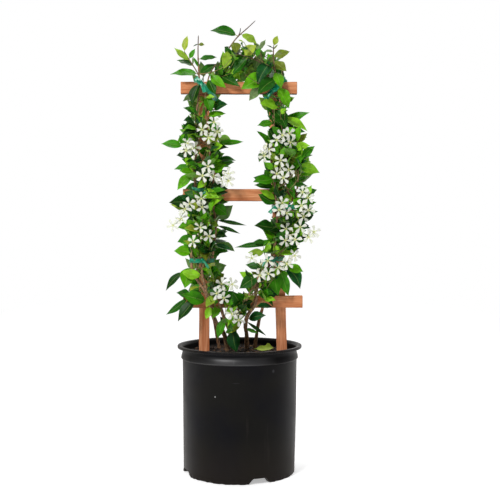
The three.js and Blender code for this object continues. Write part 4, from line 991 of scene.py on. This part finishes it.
# Leaves: opposite, leathery and glossy, 25 to 55 mm long. Each row of named leaves is
# [stem, line, height of the root, tip [x, y, z], width], and the rest follow a rule along their stem.
named_leaves = [
    (2, 0, 883, (-59, -16, 897), 22), (2, 0, 872, (-7, -31, 847), 20), (2, 0, 856, (-31, -34, 815), 21),
    (2, 0, 887, (36, -20, 869), 19), (2, 0, 812, (-2, -14, 784), 24), (3, 1, 841, (32, -33, 862), 25),
    (3, 1, 836, (-6, -20, 822), 17), (3, 1, 839, (-22, -17, 801), 22), (3, 0, 806, (4, -36, 776), 32),
    (3, 0, 848, (30, -3, 818), 22), (3, 0, 854, (51, -21, 876), 12), (3, 0, 852, (29, -15, 873), 10),
    (4, 0, 836, (34, -31, 784), 26), (4, 0, 797, (38, -34, 764), 27), (4, 0, 863, (77, -18, 884), 12),
    (4, 0, 852, (50, -18, 854), 9), (4, 0, 843, (100, -26, 852), 21), (4, 0, 832, (94, -31, 812), 21),
    (4, 0, 812, (84, -35, 777), 22), (4, 0, 783, (102, -36, 739), 26), (4, 0, 736, (44, -37, 746), 26),
    (5, 0, 722, (139, -8, 733), 20), (0, 2, 851, (-107, -12, 886), 14), (0, 2, 833, (-129, -20, 859), 16),
    (0, 2, 836, (-90, -22, 856), 10), (0, 2, 822, (-128, -2, 841), 20), (0, 0, 806, (-140, -22, 809), 28),
    (0, 0, 836, (-46, -21, 842), 12), (0, 0, 819, (-92, -30, 838), 6), (0, 1, 824, (-46, -17, 799), 6),
    (0, 0, 804, (-46, -8, 831), 18), (0, 0, 790, (-107, -24, 800), 10), (0, 0, 788, (-98, -30, 744), 24),
    (0, 1, 806, (-27, -33, 778), 20), (0, 1, 796, (-48, -36, 764), 20), (0, 1, 763, (-56, -32, 727), 20),
    (0, 0, 754, (-101, -24, 728), 18), (0, 5, 660, (-158, -22, 667), 20), (1, 0, 668, (8, -12, 674), 14),
    (1, 0, 632, (-8, -24, 634), 20), (0, 0, 606, (-127, -20, 573), 20), (0, 1, 592, (-84, -40, 576), 15),
    (1, 0, 574, (-10, -26, 559), 25), (1, 0, 540, (-26, -22, 522), 24), (0, 0, 528, (-140, -14, 546), 18),
    (1, 0, 512, (14, -22, 505), 10), (1, 0, 501, (2, -18, 486), 8), (1, 0, 478, (-25, -20, 479), 15),
    (0, 0, 480, (-127, -18, 467), 16), (1, 0, 462, (-15, -20, 453), 9), (1, 0, 447, (-22, -24, 451), 14),
    (0, 0, 444, (-132, -24, 450), 24), (0, 0, 418, (-110, -36, 376), 30), (0, 4, 408, (-151, -24, 370), 16),
    (0, 3, 356, (-151, -14, 318), 14), (0, 3, 352, (-127, -30, 311), 27), (0, 3, 347, (-114, -38, 362), 28),
    (0, 3, 354, (-127, -5, 366), 20), (0, 0, 338, (-68, -34, 313), 16), (1, 0, 338, (-54, -34, 314), 17),
    (1, 0, 314, (-47, -26, 273), 21), (3, 0, 292, (-7, -24, 244), 28), (4, 0, 306, (55, -22, 278), 7),
    (4, 0, 290, (38, -8, 282), 10), (3, 0, 400, (0, -31, 374), 26), (3, 0, 414, (12, -20, 424), 18),
    (4, 2, 411, (76, -36, 360), 27), (4, 2, 413, (98, -30, 358), 22), (4, 2, 415, (123, -22, 374), 26),
    (4, 2, 416, (128, -33, 410), 24), (3, 2, 463, (-11, -16, 459), 12), (3, 2, 468, (28, -26, 469), 12),
    (4, 1, 620, (163, -20, 608), 22), (3, 0, 735, (94, -33, 696), 26), (4, 0, 718, (138, -26, 695), 22),
    (3, 0, 588, (28, -26, 599), 20), (3, 0, 578, (30, -34, 584), 16), (3, 0, 552, (42, -36, 573), 16),
    (4, 0, 602, (110, -36, 553), 15), (3, 0, 478, (47, -32, 494), 28), (3, 0, 463, (78, -36, 439), 14),
]
named_shifts = (0, -6, 6, -12, 12, -20, 20, -28)
leafy_runs = [
    (0, 0, 436, 760), (0, 1, 396, 760), (0, 5, 622, 660), (1, 0, 352, 736), (2, 0, 372, 800),
    (3, 0, 384, 800), (4, 0, 424, 800), (4, 1, 512, 650), (5, 0, 372, 826),
]
pair_gap = 54
rule_turns = [
    (0, 0), (22, 0), (-22, 0), (0, 24), (0, -24), (44, 10), (-44, 10),
    (30, -30), (-30, -30), (70, 0), (-70, 0), (100, 20), (-100, 20),
]
blade_droop = 0.1
tip_lift = 0.35
stalk_end = 0.09


def face_of(along, sway, rise):
    """The direction that a blade's upper face turns to: up, and out on its own side of the trellis."""
    return across([sway, 0.8 if along[1] > 0.4 else -0.8, rise], along)


def named_choices(row, index):
    """The places that a named leaf may take: its tip, moved in or out."""
    stem, line, height, tip, width = row
    point, forward, radius = site_at(stems[stem_names[stem]][line], height)
    draw = draws_from(index + 3000)
    sway = (next(draw) - 0.5) * 0.9
    rise = 0.15 + next(draw) * 0.6
    for shift in named_shifts:
        reach = np.array(tip, float) + [0, shift, 0] - point
        along = unit(reach)
        yield point, along, face_of(along, sway, rise), np.linalg.norm(reach), width, radius


def rule_choices(row, run, pair, hand):
    """The places that a rule leaf may take: turned and lifted step by step, then the same a size smaller."""
    stem, line, low, high = row
    pairs = (high - low) // pair_gap
    draw = draws_from(run * 200 + pair * 4 + hand + 5000)
    height = low + pair * pair_gap + (next(draw) - 0.5) * 12
    point, forward, radius = site_at(stems[stem_names[stem]][line], height)
    right = across([1.0, 0.0, 0.0], forward)
    back = np.cross(forward, right)
    turned = (90 * hand if pair % 2 else 90 - 90 * hand) + (next(draw) - 0.5) * 60
    lifted = -22 + next(draw) * 60
    length = (40 + 13 * next(draw)) * (0.8 if pair > pairs - 2 else 1)
    width = length * (0.48 + 0.1 * next(draw))
    sway = (next(draw) - 0.5) * 1.1
    rise = 0.1 + next(draw) * 0.8
    for share in (1, 0.78):
        for turn, lift in rule_turns:
            angle, slope = np.radians([turned + turn, lifted + lift])
            radial = right * np.cos(angle) + back * np.sin(angle)
            along = unit(radial * np.cos(slope) + forward * np.sin(slope))
            yield point, along, face_of(along, sway, rise), length * share, width * share, radius


def leaf_on(choices, corners):
    """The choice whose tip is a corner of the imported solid, or None where the leaf found no room."""
    choices = list(choices)
    tips = np.array([p + a * n - f * blade_droop * n + f * tip_lift for p, a, f, n, w, r in choices])
    gaps = gap_to(tips, corners)
    best = int(np.argmin(gaps))
    return choices[best] if gaps[best] < match_gap else None


leaf_rows = np.array([0, 0.04, 0.09, 0.14, 0.21, 0.3, 0.4, 0.5, 0.6, 0.7, 0.8, 0.89, 0.96, 1.0])
leaf_ring = 12


def leaf_surface(leaves, draw, rows=leaf_rows, ring=leaf_ring):
    """Leaves along their spine root + along·length·s - face·droop·length·s². The half width is
    0.5·width·sin(πx^0.85)^(0.75+0.45x) with x counted from the end of the stalk, the edges fold up
    and wave, and the thickness falls from the round stalk to the thin edge."""
    root, along, face, length, width, radius = (np.array(list(column), float) for column in zip(*leaves))
    each = (len(root), 1, 1)
    length = length[:, None, None]
    width = width[:, None, None]
    right = np.cross(face, along)
    s = rows[None, :, None]
    x = np.clip((s - stalk_end) / (1 - stalk_end), 0, 1)
    half = 0.5 * width * np.sin(np.pi * x**0.85).clip(0, 1) ** (0.75 + 0.45 * x)
    stalk = 0.75 * np.clip(1 - (s - 0.05) / 0.09, 0, 1) + 0.12
    half = np.maximum(half, stalk)
    turn = turns(ring)
    share = np.cos(turn)[None, None]
    offset = half * share
    fold = draw.uniform(0.16, 0.5, each)
    wave = draw.uniform(0.2, 1.1, each)
    phase = draw.uniform(0, 6.28, each)
    twist = draw.normal(0, 0.16, each) * s
    sweep = draw.normal(0, 0.045, each) * length * np.sin(np.pi * s)
    lift = fold * (np.sqrt(offset**2 + 1.2) - 1.1) * np.clip(half / 3, 0, 1)
    lift = lift + wave * np.sin(s * 15 + phase + share * 1.5) * np.abs(share) ** 2 * np.clip(half / 4, 0, 1)
    lift = lift - 0.3 * np.exp(-((offset / 0.9) ** 2)) * np.clip(half / 3, 0, 1)
    lift = lift - 0.035 * length * np.clip(s - 0.72, 0, 1) ** 2 * draw.uniform(0, 12, each)
    thick = 0.16 + 0.6 * np.clip(1 - (s - 0.04) / 0.12, 0, 1) + 0.2 * np.exp(-((share / 0.16) ** 2)) * (1 - s)
    lift = lift + thick * np.sin(turn) + offset * twist
    drop = blade_droop * length * s**2
    points = root[:, None, None]
    for way, far in ((along, length * s), (face, lift - drop), (right, offset + sweep)):
        points = points + way[:, None, None] * far[..., None]
    v = np.append(share[0, 0], share[0, 0, 0]) * 0.5 + 0.5
    u = np.append(rows, 1.0)[:, None]
    uv = np.stack([u + 0 * v, v + 0 * u], -1)[None]
    under = (np.sin(turn) < -0.05)[None, None, :, None] * np.ones((1, len(rows), 1, 1))
    return points, uv, under


# Leaf tones, with the share of each among the leaves that aren't named, and the tone of each named leaf.
leaf_tones = {
    "deep": ("#0a3a03", 0.14), "blue": ("#104a20", 0.05), "dark": ("#1a5a05", 0.2), "mid": ("#3a8606", 0.2),
    "fresh": ("#5ea80c", 0.17), "bright": ("#8cca28", 0.13), "light": ("#94b83a", 0.06),
    "young": ("#a4b83a", 0.02), "olive": ("#6c7a1c", 0.02), "grey": ("#6e8656", 0.01),
}
tone_names = list(leaf_tones)
tone_values = linear_rows(*(colour for colour, share in leaf_tones.values()))
tone_shares = [share for colour, share in leaf_tones.values()]
named_tones = """
    dark olive light light dark young deep dark fresh deep grey grey blue dark young grey olive olive
    fresh fresh bright mid young light mid dark mid dark mid deep dark mid deep fresh dark mid light mid
    mid dark fresh bright blue mid young deep deep deep mid blue dark fresh fresh deep dark deep mid
    dark bright fresh mid blue deep mid dark dark mid mid blue fresh dark dark bright dark bright dark
    dark bright mid fresh bright
""".split()

# Leaf skin: leathery and waxed, so it shines. The upper face is green with a paler midrib and side
# veins about 4 mm apart, and the lower face is paler and duller.
leaf_skin, add = new_material("waxed_leaf")
tint = add("Attribute", attribute_name="tint", out="Color")
run = add("UVMap", uv_map="surface")
lengthwise = add("SeparateXYZ", {0: run}, out="X")
from_rib = add("SeparateXYZ", {0: run}, out="Y")
from_rib = add("Math", {0: from_rib, 1: 0.5}, operation="SUBTRACT")
from_rib = add("Math", {0: from_rib}, operation="ABSOLUTE")
slant = add("Math", {0: from_rib, 1: -9.0}, operation="MULTIPLY")
row = add("Math", {0: lengthwise, 1: 13.0, 2: slant}, operation="MULTIPLY_ADD")
row = add("Math", {0: row}, operation="FRACT")
row = add("Math", {0: row, 1: 0.5}, operation="SUBTRACT")
row = add("Math", {0: row}, operation="ABSOLUTE")
side_vein = add("MapRange", {0: row, 1: 0.1, 2: 0.0})
rib = add("MapRange", {0: from_rib, 1: 0.03, 2: 0.01})
veins = add("Math", {0: side_vein, 1: 0.35, 2: rib}, operation="MULTIPLY_ADD", use_clamp=True)
place = add("TexCoord", out="Object")
mottle = add("TexNoise", {"Vector": place, "Scale": 90.0, "Detail": 3.0})
shade = add("ValToRGB", {0: mottle}, [(0.3, "#c4c4b4"), (0.7, "#ffffff")])
toned = add("Mix", {0: 1.0, 6: tint, 7: shade}, data_type="RGBA", blend_type="MULTIPLY", out=2)
pale = add("Math", {0: veins, 1: 0.26}, operation="MULTIPLY")
coloured = add("Mix", {0: pale, 6: toned, 7: linear("#a9c46a")}, data_type="RGBA", out=2)
rough = add("MapRange", {0: mottle, 1: 0.3, 2: 0.7, 3: 0.3, 4: 0.46})
sunk = add("Bump", {"Height": veins, "Strength": 0.5, "Distance": 0.0005}, invert=True)
shader = add("BsdfPrincipled", {
    "IOR": 1.45, "Specular IOR Level": 0.15, "Subsurface Weight": 0.1,
    "Subsurface Radius": (0.3, 0.8, 0.1), "Subsurface Scale": 0.002, "Base Color": coloured,
    "Roughness": rough, "Normal": sunk,
})
add("OutputMaterial", {0: shader})

grown = {name: [] for name in stem_names}
corners_of = {name: node_corners(name) for name in stem_names}
for index, (row, tone) in enumerate(zip(named_leaves, named_tones)):
    name = stem_names[row[0]]
    found = leaf_on(named_choices(row, index), corners_of[name])
    if found:
        grown[name].append((found, tone))
for run_number, row in enumerate(leafy_runs):
    name = stem_names[row[0]]
    for pair in range((row[3] - row[2]) // pair_gap + 1):
        for hand in (-1, 1):
            found = leaf_on(rule_choices(row, run_number, pair, hand), corners_of[name])
            if found:
                grown[name].append((found, None))


def leaf_tint(points, under, picked, stalk_rows):
    """Each leaf in its own tone, its under side half way to pale green, and its stalk yellow-green."""
    tone = tone_values[picked][:, None, None]
    pale = tone * 0.55 + linear_rows("#8fb26a") * 0.45
    tint = np.broadcast_to(tone * (1 - under) + pale * under, points.shape).copy()
    tint[:, :stalk_rows] = linear_rows("#8a9a4c")
    return tint


for index, name in enumerate(stem_names):
    leaves = [leaf for leaf, tone in grown[name]]
    draw = np.random.default_rng(index + 800)
    points, uv, under = leaf_surface(leaves, draw)
    picked = draw.choice(len(tone_names), len(leaves), p=tone_shares)
    for at, (leaf, tone) in enumerate(grown[name]):
        if tone:
            picked[at] = tone_names.index(tone)
    tint = leaf_tint(points, under, picked, 3)
    add_piece(f"{name}_leaves", [tube_part(points, uv, tint)], leaf_skin, "vine", name, sharp=80)


# Side shoots: thin green twigs, 50 to 100 mm long, that leave the woody stems every 20 to 30 mm and
# carry the smaller leaves in opposite pairs. A reach is how far left and right the foliage goes by height,
# and a row of shoots is [reach, stem, line, lowest, highest, count, side], with 1 for the back.
foliage_reach = {
    "left": [
        (340, -112, -30), (356, -128, -20), (382, -134, -8), (406, -128, -34), (430, -108, -46),
        (455, -132, -18), (479, -130, -24), (503, -128, -32), (528, -139, -26), (562, -120, -26),
        (601, -126, -8), (625, -112, -12), (650, -118, -26), (674, -142, -26), (698, -122, -38),
        (723, -118, -48), (747, -103, -52), (775, -106, -36),
    ],
    "right": [
        (340, -4, 110), (356, 0, 126), (382, 2, 126), (406, 9, 124), (430, 30, 126), (455, 8, 128),
        (479, 44, 148), (503, 64, 138), (528, 62, 156), (562, 60, 152), (601, 28, 160), (625, 50, 158),
        (650, 42, 150), (674, 44, 142), (698, 58, 140), (723, 58, 112), (747, 40, 114), (775, 26, 106),
    ],
    "top": [
        (770, -108, 106), (784, -130, 100), (808, -136, 98), (824, -60, 98), (845, -36, 94),
        (868, -26, 64),
    ],
    "base": [(262, -46, 20), (300, -64, 30), (330, -74, 62), (356, -60, 96)],
}
shoot_rows = [
    ("left", 0, 0, 352, 690, 24, -1), ("left", 0, 1, 362, 690, 24, -1), ("left", 1, 0, 330, 690, 24, -1),
    ("left", 2, 0, 340, 700, 20, -1), ("left", 0, 0, 700, 760, 3, -1), ("right", 3, 0, 352, 690, 24, -1),
    ("right", 4, 0, 360, 700, 26, -1), ("right", 4, 1, 506, 640, 12, -1), ("right", 5, 0, 372, 720, 20, -1),
    ("right", 4, 0, 706, 772, 4, -1), ("top", 3, 0, 778, 826, 4, -1), ("top", 4, 0, 782, 834, 4, -1),
    ("top", 2, 0, 792, 850, 8, -1), ("top", 0, 0, 778, 806, 6, -1), ("base", 1, 0, 262, 330, 4, -1),
    ("base", 3, 0, 300, 350, 4, -1), ("base", 4, 0, 300, 352, 4, -1), ("left", 2, 0, 372, 776, 24, 1),
    ("right", 5, 0, 380, 790, 24, 1), ("top", 2, 0, 792, 844, 6, 1), ("top", 5, 0, 792, 826, 5, 1),
]
twig_rows = 14
twig_ring = 6
twig_rise = (16, 64)
twig_aside = 62
pair_gaps = (21, 28)
small_leaf_long = (33, 50)
small_leaf_broad = (0.44, 0.56)
small_leaf_rows = np.array([0, 0.08, 0.17, 0.3, 0.46, 0.62, 0.78, 0.91, 1.0])
small_leaf_ring = 8
leaf_tries = 14
leaf_cell = 5.4
sight_cell = 8
reach_slack = 4
foliage_low = 262
foliage_high = 868
foliage_deep = 78
wood_clear = 1.5
flower_clear = 13
bare_stems = ((0, 0, 262, 425), (0, 1, 356, 425), (0, 0, 700, 770), (0, 1, 700, 770), (4, 0, 262, 400))


def leaf_samples(leaf):
    """Points on a blade: along its spine, and on both edges where it is broad."""
    root, along, face, length, width, radius = leaf
    right = np.cross(face, along)
    s = np.array([0.3, 0.48, 0.66, 0.84, 1.0, 0.38, 0.38, 0.58, 0.58, 0.78, 0.78])
    t = np.array([0, 0, 0, 0, 0, -0.8, 0.8, -0.9, 0.9, -0.6, 0.6]) * width / 2
    droop = np.outer(s**2 * length * blade_droop, face)
    return root + np.outer(s * length, along) + np.outer(t, right) - droop


def cells_of(points, size):
    """The cells of a lattice that points lie in."""
    return list(map(tuple, np.floor(points / size).astype(int).tolist()))


def limits_at(reach, z):
    """How far left and right the foliage of a reach goes at a height."""
    rows = np.array(foliage_reach[reach], float)
    return [np.interp(z, rows[:, 0], rows[:, column]) for column in (1, 2)]


def has_room(points, reach, side):
    """True where a blade stays in its reach and off the wood, and hides no tie and no flower."""
    x, y, z = points.T
    least, most = limits_at(reach, z)
    blocked = (x < least - reach_slack) | (x > most + reach_slack) | (np.abs(y) > foliage_deep)
    blocked |= (z < foliage_low) | (z > foliage_high)
    if blocked.any():
        return False
    sight = cells_of(points[:, ::2], sight_cell)
    blocked |= [depth < shown.get(place, -100) + 2 for place, depth in zip(sight, y)]
    for low, left, right in rungs.values():
        near = (np.abs(y - rung_middle) < rung_deep / 2 + wood_clear) & (x > left - 2) & (x < right + 2)
        blocked |= near & (np.abs(z - low - rung_high / 2) < rung_high / 2 + wood_clear)
    for upright in ("left", "right"):
        near = np.abs(x - upright_x(upright, z)) < upright_wide / 2 + wood_clear
        near &= np.abs(y - upright_middle) < upright_deep / 2 + wood_clear
        blocked |= near & (z < upright_high + 2)
    for tie, tie_x, tie_z, slant, tilt in ties:
        blocked |= (np.abs(x - tie_x) < 25) & (np.abs(z - tie_z) < (18 if slant else 9)) & (y < 16)
    if blocked.any():
        return False
    near = np.linalg.norm(points[:, None, ::2] - flower_middles[None, :, ::2], axis=-1) < flower_clear
    return not (near & ((y[:, None] - flower_middles[None, :, 1]) * side > -3)).any()


def grow_leaf(draw, root, heading, crossed, hand, at_tip, reach, side):
    """The first of a few drawn blades that has room, each a little smaller than the last, or None."""
    sideways = across(side_axis, heading)
    outward = np.cross(heading, sideways)
    size = draw.uniform(*small_leaf_long) * (0.8 if at_tip else 1)
    broad = size * draw.uniform(*small_leaf_broad)
    for attempt in range(leaf_tries):
        roll = draw.normal(0, 0.55) + (0.9 if crossed else 0)
        slope = draw.uniform(0.7, 1.3) if at_tip else draw.uniform(0.1, 0.9)
        radial = hand * (sideways * np.cos(roll) + outward * np.sin(roll))
        along = unit(radial * np.cos(slope) + heading * np.sin(slope) + [0, 0.25 * side, 0])
        face = across([draw.normal(0, 0.4), 0.8 * side, draw.uniform(0.0, 0.9)], along)
        scale = 1 - 0.05 * attempt
        leaf = (root, along, face, size * scale, broad * scale, 0.8)
        points = leaf_samples(leaf)
        cells = set(cells_of(points[1:], leaf_cell))
        if not cells & taken and has_room(points, reach, side):
            taken.update(cells)
            return leaf


# The large leaves and the bare lower stems stay in sight: no small leaf grows in front of them.
taken = set()
shown = {}
for rows in grown.values():
    for leaf, tone in rows:
        points = leaf_samples(leaf)
        taken.update(cells_of(points, leaf_cell))
        if tone:
            shown.update(zip(cells_of(points[:, ::2], sight_cell), points[:, 1]))
for stem, line_number, low, high in bare_stems:
    line = stems[stem_names[stem]][line_number]
    points = np.array([site_at(line, z)[0] for z in range(low, high, 5)])
    shown.update(zip(cells_of(points[:, ::2], sight_cell), points[:, 1]))
shoots = {(reach, side): ([], []) for reach in foliage_reach for side in (-1, 1)}
for number, (reach, stem, line_number, low, high, count, side) in enumerate(shoot_rows):
    draw = np.random.default_rng(number + 1500)
    line = stems[stem_names[stem]][line_number]
    for height in np.linspace(low, high, count) + draw.uniform(-6, 6, count):
        start, forward, radius = site_at(line, height)
        top = start[2] + draw.uniform(*twig_rise)
        left, right = limits_at(reach, top)
        inset = min(24, (right - left) / 3)
        end_x = draw.uniform(left + inset, right - inset)
        end_x = np.clip(end_x, start[0] - twig_aside, start[0] + twig_aside)
        end_y = draw.uniform(20, 46) if side > 0 else draw.uniform(-54, -12)
        end = np.array([end_x, end_y, top])
        sway = [(end_x - start[0]) * 0.25, side * draw.uniform(0, 8), -draw.uniform(4, 14)]
        bend = (start + end) / 2 + sway
        path = bent(start, bend, end, np.linspace(0, 1, twig_rows)[:, None])
        long = np.linalg.norm(np.diff(path, axis=0), axis=-1).sum()
        carried = []
        last = 0
        nodes = np.arange(draw.uniform(13, 22), long - 4, draw.uniform(*pair_gaps)) / long
        for pair, share in enumerate([*nodes, 1.0]):
            at = share * (twig_rows - 1)
            row = min(int(at), twig_rows - 2)
            step = path[row + 1] - path[row]
            for hand in (-1, 1):
                root = path[row] + step * (at - row)
                leaf = grow_leaf(draw, root, unit(step), pair % 2, hand, share == 1, reach, side)
                if leaf:
                    carried.append(leaf)
                    last = share
        if len(carried) > 1:
            kept = np.linspace(0, last * (twig_rows - 1), twig_rows)
            path = np.stack([np.interp(kept, np.arange(twig_rows), path[:, axis]) for axis in range(3)], -1)
            shoots[reach, side][0].append(path)
            shoots[reach, side][1].extend(carried)
twig_brown, twig_green = linear_rows("#8a6b42", "#7f8a44")
blend = np.linspace(0, 1, twig_rows)[:, None, None]
for index, ((reach, side), (paths, leaves)) in enumerate(shoots.items()):
    if not leaves:
        continue
    draw = np.random.default_rng(index + 1700)
    name = f"side_shoots_{reach}_{'back' if side > 0 else 'front'}"
    rings = tube_rings(np.array(paths), np.linspace(1.15, 0.55, twig_rows)[:, None], twig_ring)
    twigs = tube_part(rings, tint=twig_brown * (1 - blend) + twig_green * blend)
    add_piece(f"{name}_twigs", [twigs], vine_bark, "vine")
    points, uv, under = leaf_surface(leaves, draw, small_leaf_rows, small_leaf_ring)
    picked = draw.choice(len(tone_names), len(leaves), p=tone_shares)
    tint = leaf_tint(points, under, picked, 2)
    add_piece(f"{name}_leaves", [tube_part(points, uv, tint)], leaf_skin, "vine", sharp=80)


# Young tips: tiny leaves that unfold near the ends of the shoots. Each is (root, tip, width, tone).
young_tips = [
    ((-83, -17, 866), (-71, -20, 865), 8, "olive"), ((-83, -17, 867), (-94, -19, 862), 2.6, "deep"),
    ((-94.5, -17, 825), (-95, -19, 840), 4.5, "grey"), ((68.5, -17, 858), (55, -19, 865), 2.6, "deep"),
    ((68.7, -17, 856), (77, -19, 866), 3.4, "olive"), ((-21, -12, 862), (-31, -14, 860), 4, "deep"),
]
leaves = []
for start, end, width, tone in young_tips:
    start, end = np.array(start, float), np.array(end, float)
    along = unit(end - start)
    leaves.append((start, along, across([0, -1, 0.3], along), np.linalg.norm(end - start), width, 0.5))
points, uv, under = leaf_surface(leaves, np.random.default_rng(1800), small_leaf_rows, small_leaf_ring)
tint = leaf_tint(points, under, [tone_names.index(tone) for *size, tone in young_tips], 1)
add_piece("young_tips", [tube_part(points, uv, tint)], leaf_skin, "vine", sharp=80)


# Fallen leaf: one yellowed blade that stands on its long edge beside the right stems. It rests on
# the corners of its solid, and its upper half is folded down at the left and pointed near the right end.
corners = node_corners("fallen_leaf")
start = np.array([31.0, 8.0, 256.0])
reach = np.array([72.0, 16.0, 260.0]) - start
length = np.linalg.norm(reach)
along = unit(reach)
face = across([0.1, -0.8, 0.7], along)
tip = start + reach + face * (tip_lift - blade_droop * length)
near = corners[np.argmin(np.linalg.norm((corners - tip)[:, :2], axis=-1))]
start[2] += near[2] - tip[2] + 0.8
points, uv, under = leaf_surface([(start, along, face, length, 21.0, 1.0)], np.random.default_rng(77))
upright = np.cross(face, along)
share = (points - start) @ along / length
rise = np.clip((points - start) @ upright, 0, None)
grown_by = np.interp(share, [0, 0.2, 0.5, 0.64, 0.77, 0.86, 1], [1, 0.55, 0.4, 0.6, 1.75, 1.0, 1])
points = points + (rise * (grown_by - 1))[..., None] * upright
points = points + (rise * np.clip(share - 0.5, 0, 1))[..., None] * face * 0.7
tone, pale = linear_rows("#a9c04c", "#c6cf82")
blade = tube_part(points, uv, tone * (1 - under) + pale * under)
add_piece("yellow_leaf", [blade], leaf_skin, "yellow_leaf", "fallen_leaf", sharp=80)


# Studio: a white sweep that runs up behind the object, a broad soft light from the upper left, a weaker
# one from the right, one from above and even white light all round.
sweep_line = rounded([[0, -6, 0], [0, 3.2, 0], [0, 3.2, 5]], 1.6, 16)
sweep_mesh = bpy.data.meshes.new("floor")
sweep_points = np.concatenate([sweep_line + [-7, 0, 0], sweep_line + [7, 0, 0]])
rows = len(sweep_line)
j = np.arange(rows - 1)
sweep_mesh.from_pydata(sweep_points.tolist(), [], np.stack([j, j + rows, j + rows + 1, j + 1], -1).tolist())
sweep_mesh.polygons.foreach_set("use_smooth", np.ones(rows - 1, bool))
floor = bpy.data.objects.new("floor", sweep_mesh)
bpy.context.collection.objects.link(floor)
paper, add = new_material("white_paper_sweep")
matt = add("BsdfPrincipled", {
    "Base Color": linear("#f4f4f4"), "Roughness": 0.9, "Emission Color": (1, 1, 1, 1),
    "Emission Strength": 0.42,
})
# Far from the object the paper looks as bright as the sky, so that its edge doesn't show.
place = add("TexCoord", out="Object")
away = add("VectorMath", {0: place}, out="Value", operation="LENGTH")
far = add("MapRange", {0: away, 1: 1.0, 2: 2.6})
seen = add("LightPath", out="Is Camera Ray")
share = add("Math", {0: far, 1: seen}, operation="MULTIPLY")
white = add("Emission", {0: (1, 1, 1, 1), 1: 1.0})
blend = add("MixShader", {0: share, 1: matt, 2: white})
add("OutputMaterial", {0: blend})
sweep_mesh.materials.append(paper)

for name, place, target, size, power in (
    ("key", (-1.3, -2.0, 2.3), (0, 0, 0.45), 0.8, 74),
    ("fill", (2.2, -1.8, 1.2), (0, 0, 0.45), 1.8, 5),
    ("top", (0.2, 0.6, 2.8), (0, 0, 0.4), 1.4, 32),
):
    light = bpy.data.objects.new(name, bpy.data.lights.new(name, "AREA"))
    light.data.shape = "DISK"
    light.data.size = size
    light.data.energy = power
    light.location = place
    light.rotation_euler = (Vector(target) - Vector(place)).to_track_quat("-Z", "Y").to_euler()
    bpy.context.collection.objects.link(light)
world = bpy.data.worlds.new("studio")
world.use_nodes = True
add = nodes_in(world.node_tree)
seen = add("LightPath", out="Is Camera Ray")
strength = add("MapRange", {0: seen, 3: 0.18, 4: 1.0})
sky = add("Background", {0: (1, 1, 1, 1), 1: strength})
add("OutputWorld", {0: sky})
bpy.context.scene.world = world
bpy.context.scene.view_settings.view_transform = "Standard"
